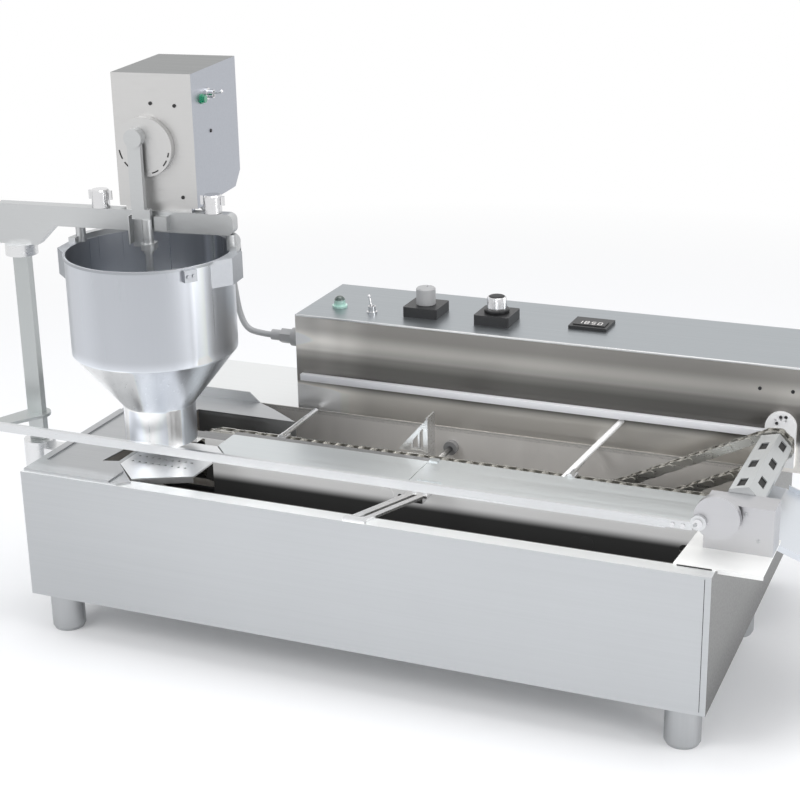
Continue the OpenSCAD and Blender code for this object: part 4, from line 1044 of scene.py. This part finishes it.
# %% Turn the speed knob
FLUTE = 0.035
FLUTED_SIDES = 96
BASE_TALL = 0.0133
knob_low, knob_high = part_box("speed_knob")
knob_mid = (knob_low + knob_high) / 2
knob_at = Vector((knob_mid.x, knob_mid.y, box_high.z + BASE_TALL))
SKIRT = [(0.0158, 0.0), (0.016, 0.001), (0.016, 0.0035), (0.0150, 0.0048), (0.0125, 0.0050)]
GRIP = [(0.0122, 0.0050), (0.0122, 0.0175), (0.0116, 0.0192), (0.0104, 0.0198)]
CAP = [(0.0100, 0.0190), (0.0100, 0.0202), (0.0092, 0.0206), (0.0040, 0.0207)]
skirt = turned("speed_knob_skirt", knob_at, SKIRT, "black", "speed_knob")
grip = turned("speed_knob_grip", knob_at, GRIP, "chrome", "speed_knob",
              segments=FLUTED_SIDES, flute=FLUTE)
cap = turned("speed_knob_cap", knob_at, CAP, "dark", "speed_knob")
for piece in (skirt, grip, cap):
    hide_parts("speed_knob")

# %% [markdown]
# ## The display
# Four small digits glow behind the display's window. Each is made of the seven bars of
# a common segment display, named from a to g round the digit.

# %% Digits on the display
SEGMENTS = {"0": "abcdef", "1": "bc", "8": "abcdefg", "5": "afgcd"}
ENDS = {
    "a": ((0, 1), (1, 1)), "b": ((1, 1), (1, 0.5)), "c": ((1, 0.5), (1, 0)),
    "d": ((0, 0), (1, 0)), "e": ((0, 0), (0, 0.5)), "f": ((0, 0.5), (0, 1)),
    "g": ((0, 0.5), (1, 0.5)),
}
SHOWN = "1850"
DIGIT_WIDE, DIGIT_TALL, DIGIT_PITCH = 0.0045, 0.009, 0.0085
STROKE_SIZE = (0.0009, 0.0004)
display_low, display_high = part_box("display")
first_x, foot_y = display_low.x + 0.009, display_low.y + 0.0105


def digit_lines(char, x):
    return [
        tuple((x + px * DIGIT_WIDE, foot_y + py * DIGIT_TALL, display_high.z)
              for px, py in ENDS[part])
        for part in SEGMENTS[char]
    ]


digits = []
for index, char in enumerate(SHOWN):
    digits += digit_lines(char, first_x + index * DIGIT_PITCH)
bars("display_digits", digits, STROKE_SIZE, "digit", "base")

# %% [markdown]
# ## The cable to the head
# A grey sheathed cable leaves the gland on the control box, bends up and ends under the
# motor housing. Its route is the CAD model's own, in millimetres from the point on the
# floor under the tub's front left corner. A smooth curve runs through the points. Its
# bend at the control box is a tight one.

# %% Route of the cable
CABLE_MM = [
    (190, 330, 306), (165, 330, 306), (142, 331, 311), (130, 332, 332), (124, 330, 376),
    (121, 322, 425), (120, 300, 462), (120, 272, 484), (120, 257, 497), (120, 255, 505),
]
CORNER = Vector((tub_low.x, tub_low.y, 0))
ROUTE_STEPS = 10
route = [CORNER + Vector(p) / 1000 for p in CABLE_MM]


def smooth_route(points, steps):
    path = []
    for i in range(len(points) - 1):
        a, b = points[max(i - 1, 0)], points[i]
        c, d = points[i + 1], points[min(i + 2, len(points) - 1)]
        for k in range(steps):
            t = k / steps
            path.append(0.5 * (2 * b + (c - a) * t + (2 * a - 5 * b + 4 * c - d) * t * t
                               + (3 * b - a - 3 * c + d) * t ** 3))
    return path + [points[-1]]


cable_path = smooth_route(route, ROUTE_STEPS)
cable_long = sum((b - a).length for a, b in zip(cable_path, cable_path[1:]))
print("cable is", round(cable_long, 3), "m long on", len(cable_path), "points")

# %% [markdown]
# The sheath is one circle, extruded from point to point. At each point the circle is
# turned square to the route, with as little twist as possible.

# %% Sheath of the cable
CABLE_RADIUS = 0.004
CABLE_SIDES = 20


def route_places(path):
    across = Vector((0, 1, 0))
    places = []
    for i, at in enumerate(path):
        way = (path[min(i + 1, len(path) - 1)] - path[max(i - 1, 0)]).normalized()
        across = (across - way * across.dot(way)).normalized()
        turn = Matrix((across, way.cross(across), way)).transposed().to_4x4()
        places.append(Matrix.Translation(at) @ turn)
    return places


def build_cable(bm):
    places = route_places(cable_path)
    bmesh.ops.create_circle(bm, cap_ends=True, segments=CABLE_SIDES, radius=CABLE_RADIUS,
                            matrix=places[0])
    ring = bm.edges[:]
    for last, place in zip(places, places[1:]):
        made = bmesh.ops.extrude_edge_only(bm, edges=ring)["geom"]
        new = {part for part in made if isinstance(part, bmesh.types.BMVert)}
        ring = [part for part in made
                if isinstance(part, bmesh.types.BMEdge) and new.issuperset(part.verts)]
        bmesh.ops.transform(bm, verts=list(new), matrix=place @ last.inverted())
    bmesh.ops.holes_fill(bm, edges=ring)


cable = finish_piece("cable_sheath", build_cable, "cable", None)
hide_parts("cable")
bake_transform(cable)
print("cable sheath:", len(cable.data.vertices), "vertices")

# %% [markdown]
# ## What mirrors and lenses see
# The background is white for the camera, for mirror rays and for rays through glass,
# but it must not light the machine. Light Path tells which kind of ray arrives, and the
# largest of its three flags is 1 for just those rays.

# %% A flag for the rays that see white
def white_for(tree):
    rays = tree.nodes.new("ShaderNodeLightPath")
    flag = combine(tree, "MAXIMUM", rays.outputs["Is Camera Ray"], rays.outputs["Is Glossy Ray"])
    return combine(tree, "MAXIMUM", flag, rays.outputs["Is Transmission Ray"])


print("rays that see white: camera, glossy and transmission")

# %% [markdown]
# ## The floor
# The machine stands on a pale floor that keeps its shadow. Far from the machine the
# floor turns into plain white, so that it runs into the background without a line.

# %% Floor
FLOOR_LIFT = 0.08
FLOOR_REACH = 6.0
FADE_START, FADE_END = 1.0, 2.2
floor_mesh = bpy.data.meshes.new("floor")
bm = bmesh.new()
bmesh.ops.create_grid(bm, x_segments=1, y_segments=1, size=FLOOR_REACH)
bm.to_mesh(floor_mesh)
bm.free()
floor = bpy.data.objects.new("floor", floor_mesh)
bpy.context.scene.collection.objects.link(floor)
floor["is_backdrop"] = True
print("floor is", 2 * FLOOR_REACH, "m wide")

# %% [markdown]
# The floor's own material is a plain matt white with a slight lift. A second shader,
# which only glows, takes over with the distance from the machine.

# %% Material of the floor
FLOOR_WHITE = (0.86, 0.86, 0.86)
FLOOR_ROUGH = 0.7
material, tree, shader = new_material("floor white", FLOOR_WHITE, 0.0, FLOOR_ROUGH)
shader.inputs["Emission Color"].default_value = (1, 1, 1, 1)
flag = white_for(tree)
lift = ramp_between(tree, flag, 0.0, 1.0, 0.0, FLOOR_LIFT)
tree.links.new(lift, shader.inputs["Emission Strength"])
distance = add_node(tree, "ShaderNodeVectorMath")
distance.operation = "LENGTH"
tree.links.new(object_coords(tree), distance.inputs[0])
far = ramp_between(tree, distance.outputs["Value"], FADE_START, FADE_END, 0.0, 1.0)
glow = tree.nodes.new("ShaderNodeEmission")
blend_far = tree.nodes.new("ShaderNodeMixShader")
tree.links.new(combine(tree, "MULTIPLY", far, flag), blend_far.inputs["Fac"])
tree.links.new(shader.outputs["BSDF"], blend_far.inputs[1])
tree.links.new(glow.outputs["Emission"], blend_far.inputs[2])
tree.links.new(blend_far.outputs["Shader"], tree.nodes["Material Output"].inputs["Surface"])
floor_mesh.materials.append(material)
print("floor is white from", FADE_END, "m on")

# %% [markdown]
# ## The world
# The world gives a soft, slightly cool light from all sides. The rays that see white
# get a plain white background in its place. The Standard view shows each colour about
# as it is written.

# %% World and view
SKY_COLOR = (0.93, 0.95, 1.0, 1.0)
SKY_STRENGTH = 0.55
bpy.context.scene.view_settings.view_transform = "Standard"
world = bpy.data.worlds.new("studio")
bpy.context.scene.world = world
world.use_nodes = True
tree = world.node_tree
sky = tree.nodes["Background"]
sky.inputs["Color"].default_value = SKY_COLOR
sky.inputs["Strength"].default_value = SKY_STRENGTH
white = add_node(tree, "ShaderNodeBackground", Color=(1, 1, 1, 1), Strength=1.0)
seen = tree.nodes.new("ShaderNodeMixShader")
tree.links.new(white_for(tree), seen.inputs["Fac"])
tree.links.new(sky.outputs["Background"], seen.inputs[1])
tree.links.new(white.outputs["Background"], seen.inputs[2])
tree.links.new(seen.outputs["Shader"], tree.nodes["World Output"].inputs["Surface"])
print("sky strength:", SKY_STRENGTH)

# %% [markdown]
# ## The lamps
# Four soft lamps stand in for the studio's softboxes: a key from the front left, one
# from above, one from the right for the end of the tub, and a small one that draws the
# bright edges. Each is a flat rectangle that is turned towards a point.

# %% Lamps
def softbox(name, at, look_at, width, height, power):
    data = bpy.data.lights.new(name, "AREA")
    data.shape = "RECTANGLE"
    data.size = width
    data.size_y = height
    data.energy = power
    lamp = bpy.data.objects.new(name, data)
    bpy.context.scene.collection.objects.link(lamp)
    lamp.location = at
    lamp.rotation_euler = (Vector(look_at) - Vector(at)).to_track_quat("-Z", "Y").to_euler()


softbox("key", (-1.8, -2.2, 2.4), (0, 0, 0.3), 1.8, 1.4, 45)
softbox("top", (0.2, 0.3, 3.0), (0, 0, 0.2), 2.2, 2.2, 40)
softbox("right", (2.6, -0.4, 1.4), (0.2, 0, 0.3), 1.0, 1.6, 16)
softbox("edge", (1.9, -0.7, 0.5), (-0.3, -0.1, 0.35), 0.3, 0.8, 6)
print("lamps:", len(bpy.data.lights))

# %% [markdown]
# ## Check the size and finish
# The dressed machine has to stay inside the CAD model's box, apart from a fraction of a
# millimetre where the seam stands proud. The largest difference is printed.

# %% Finish
dressed_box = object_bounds()
growth = max(abs(a - b) for c, d in zip(cad_box, dressed_box) for a, b in zip(c, d))
print("the dressed box differs by at most", round(growth * 1000, 2), "mm")
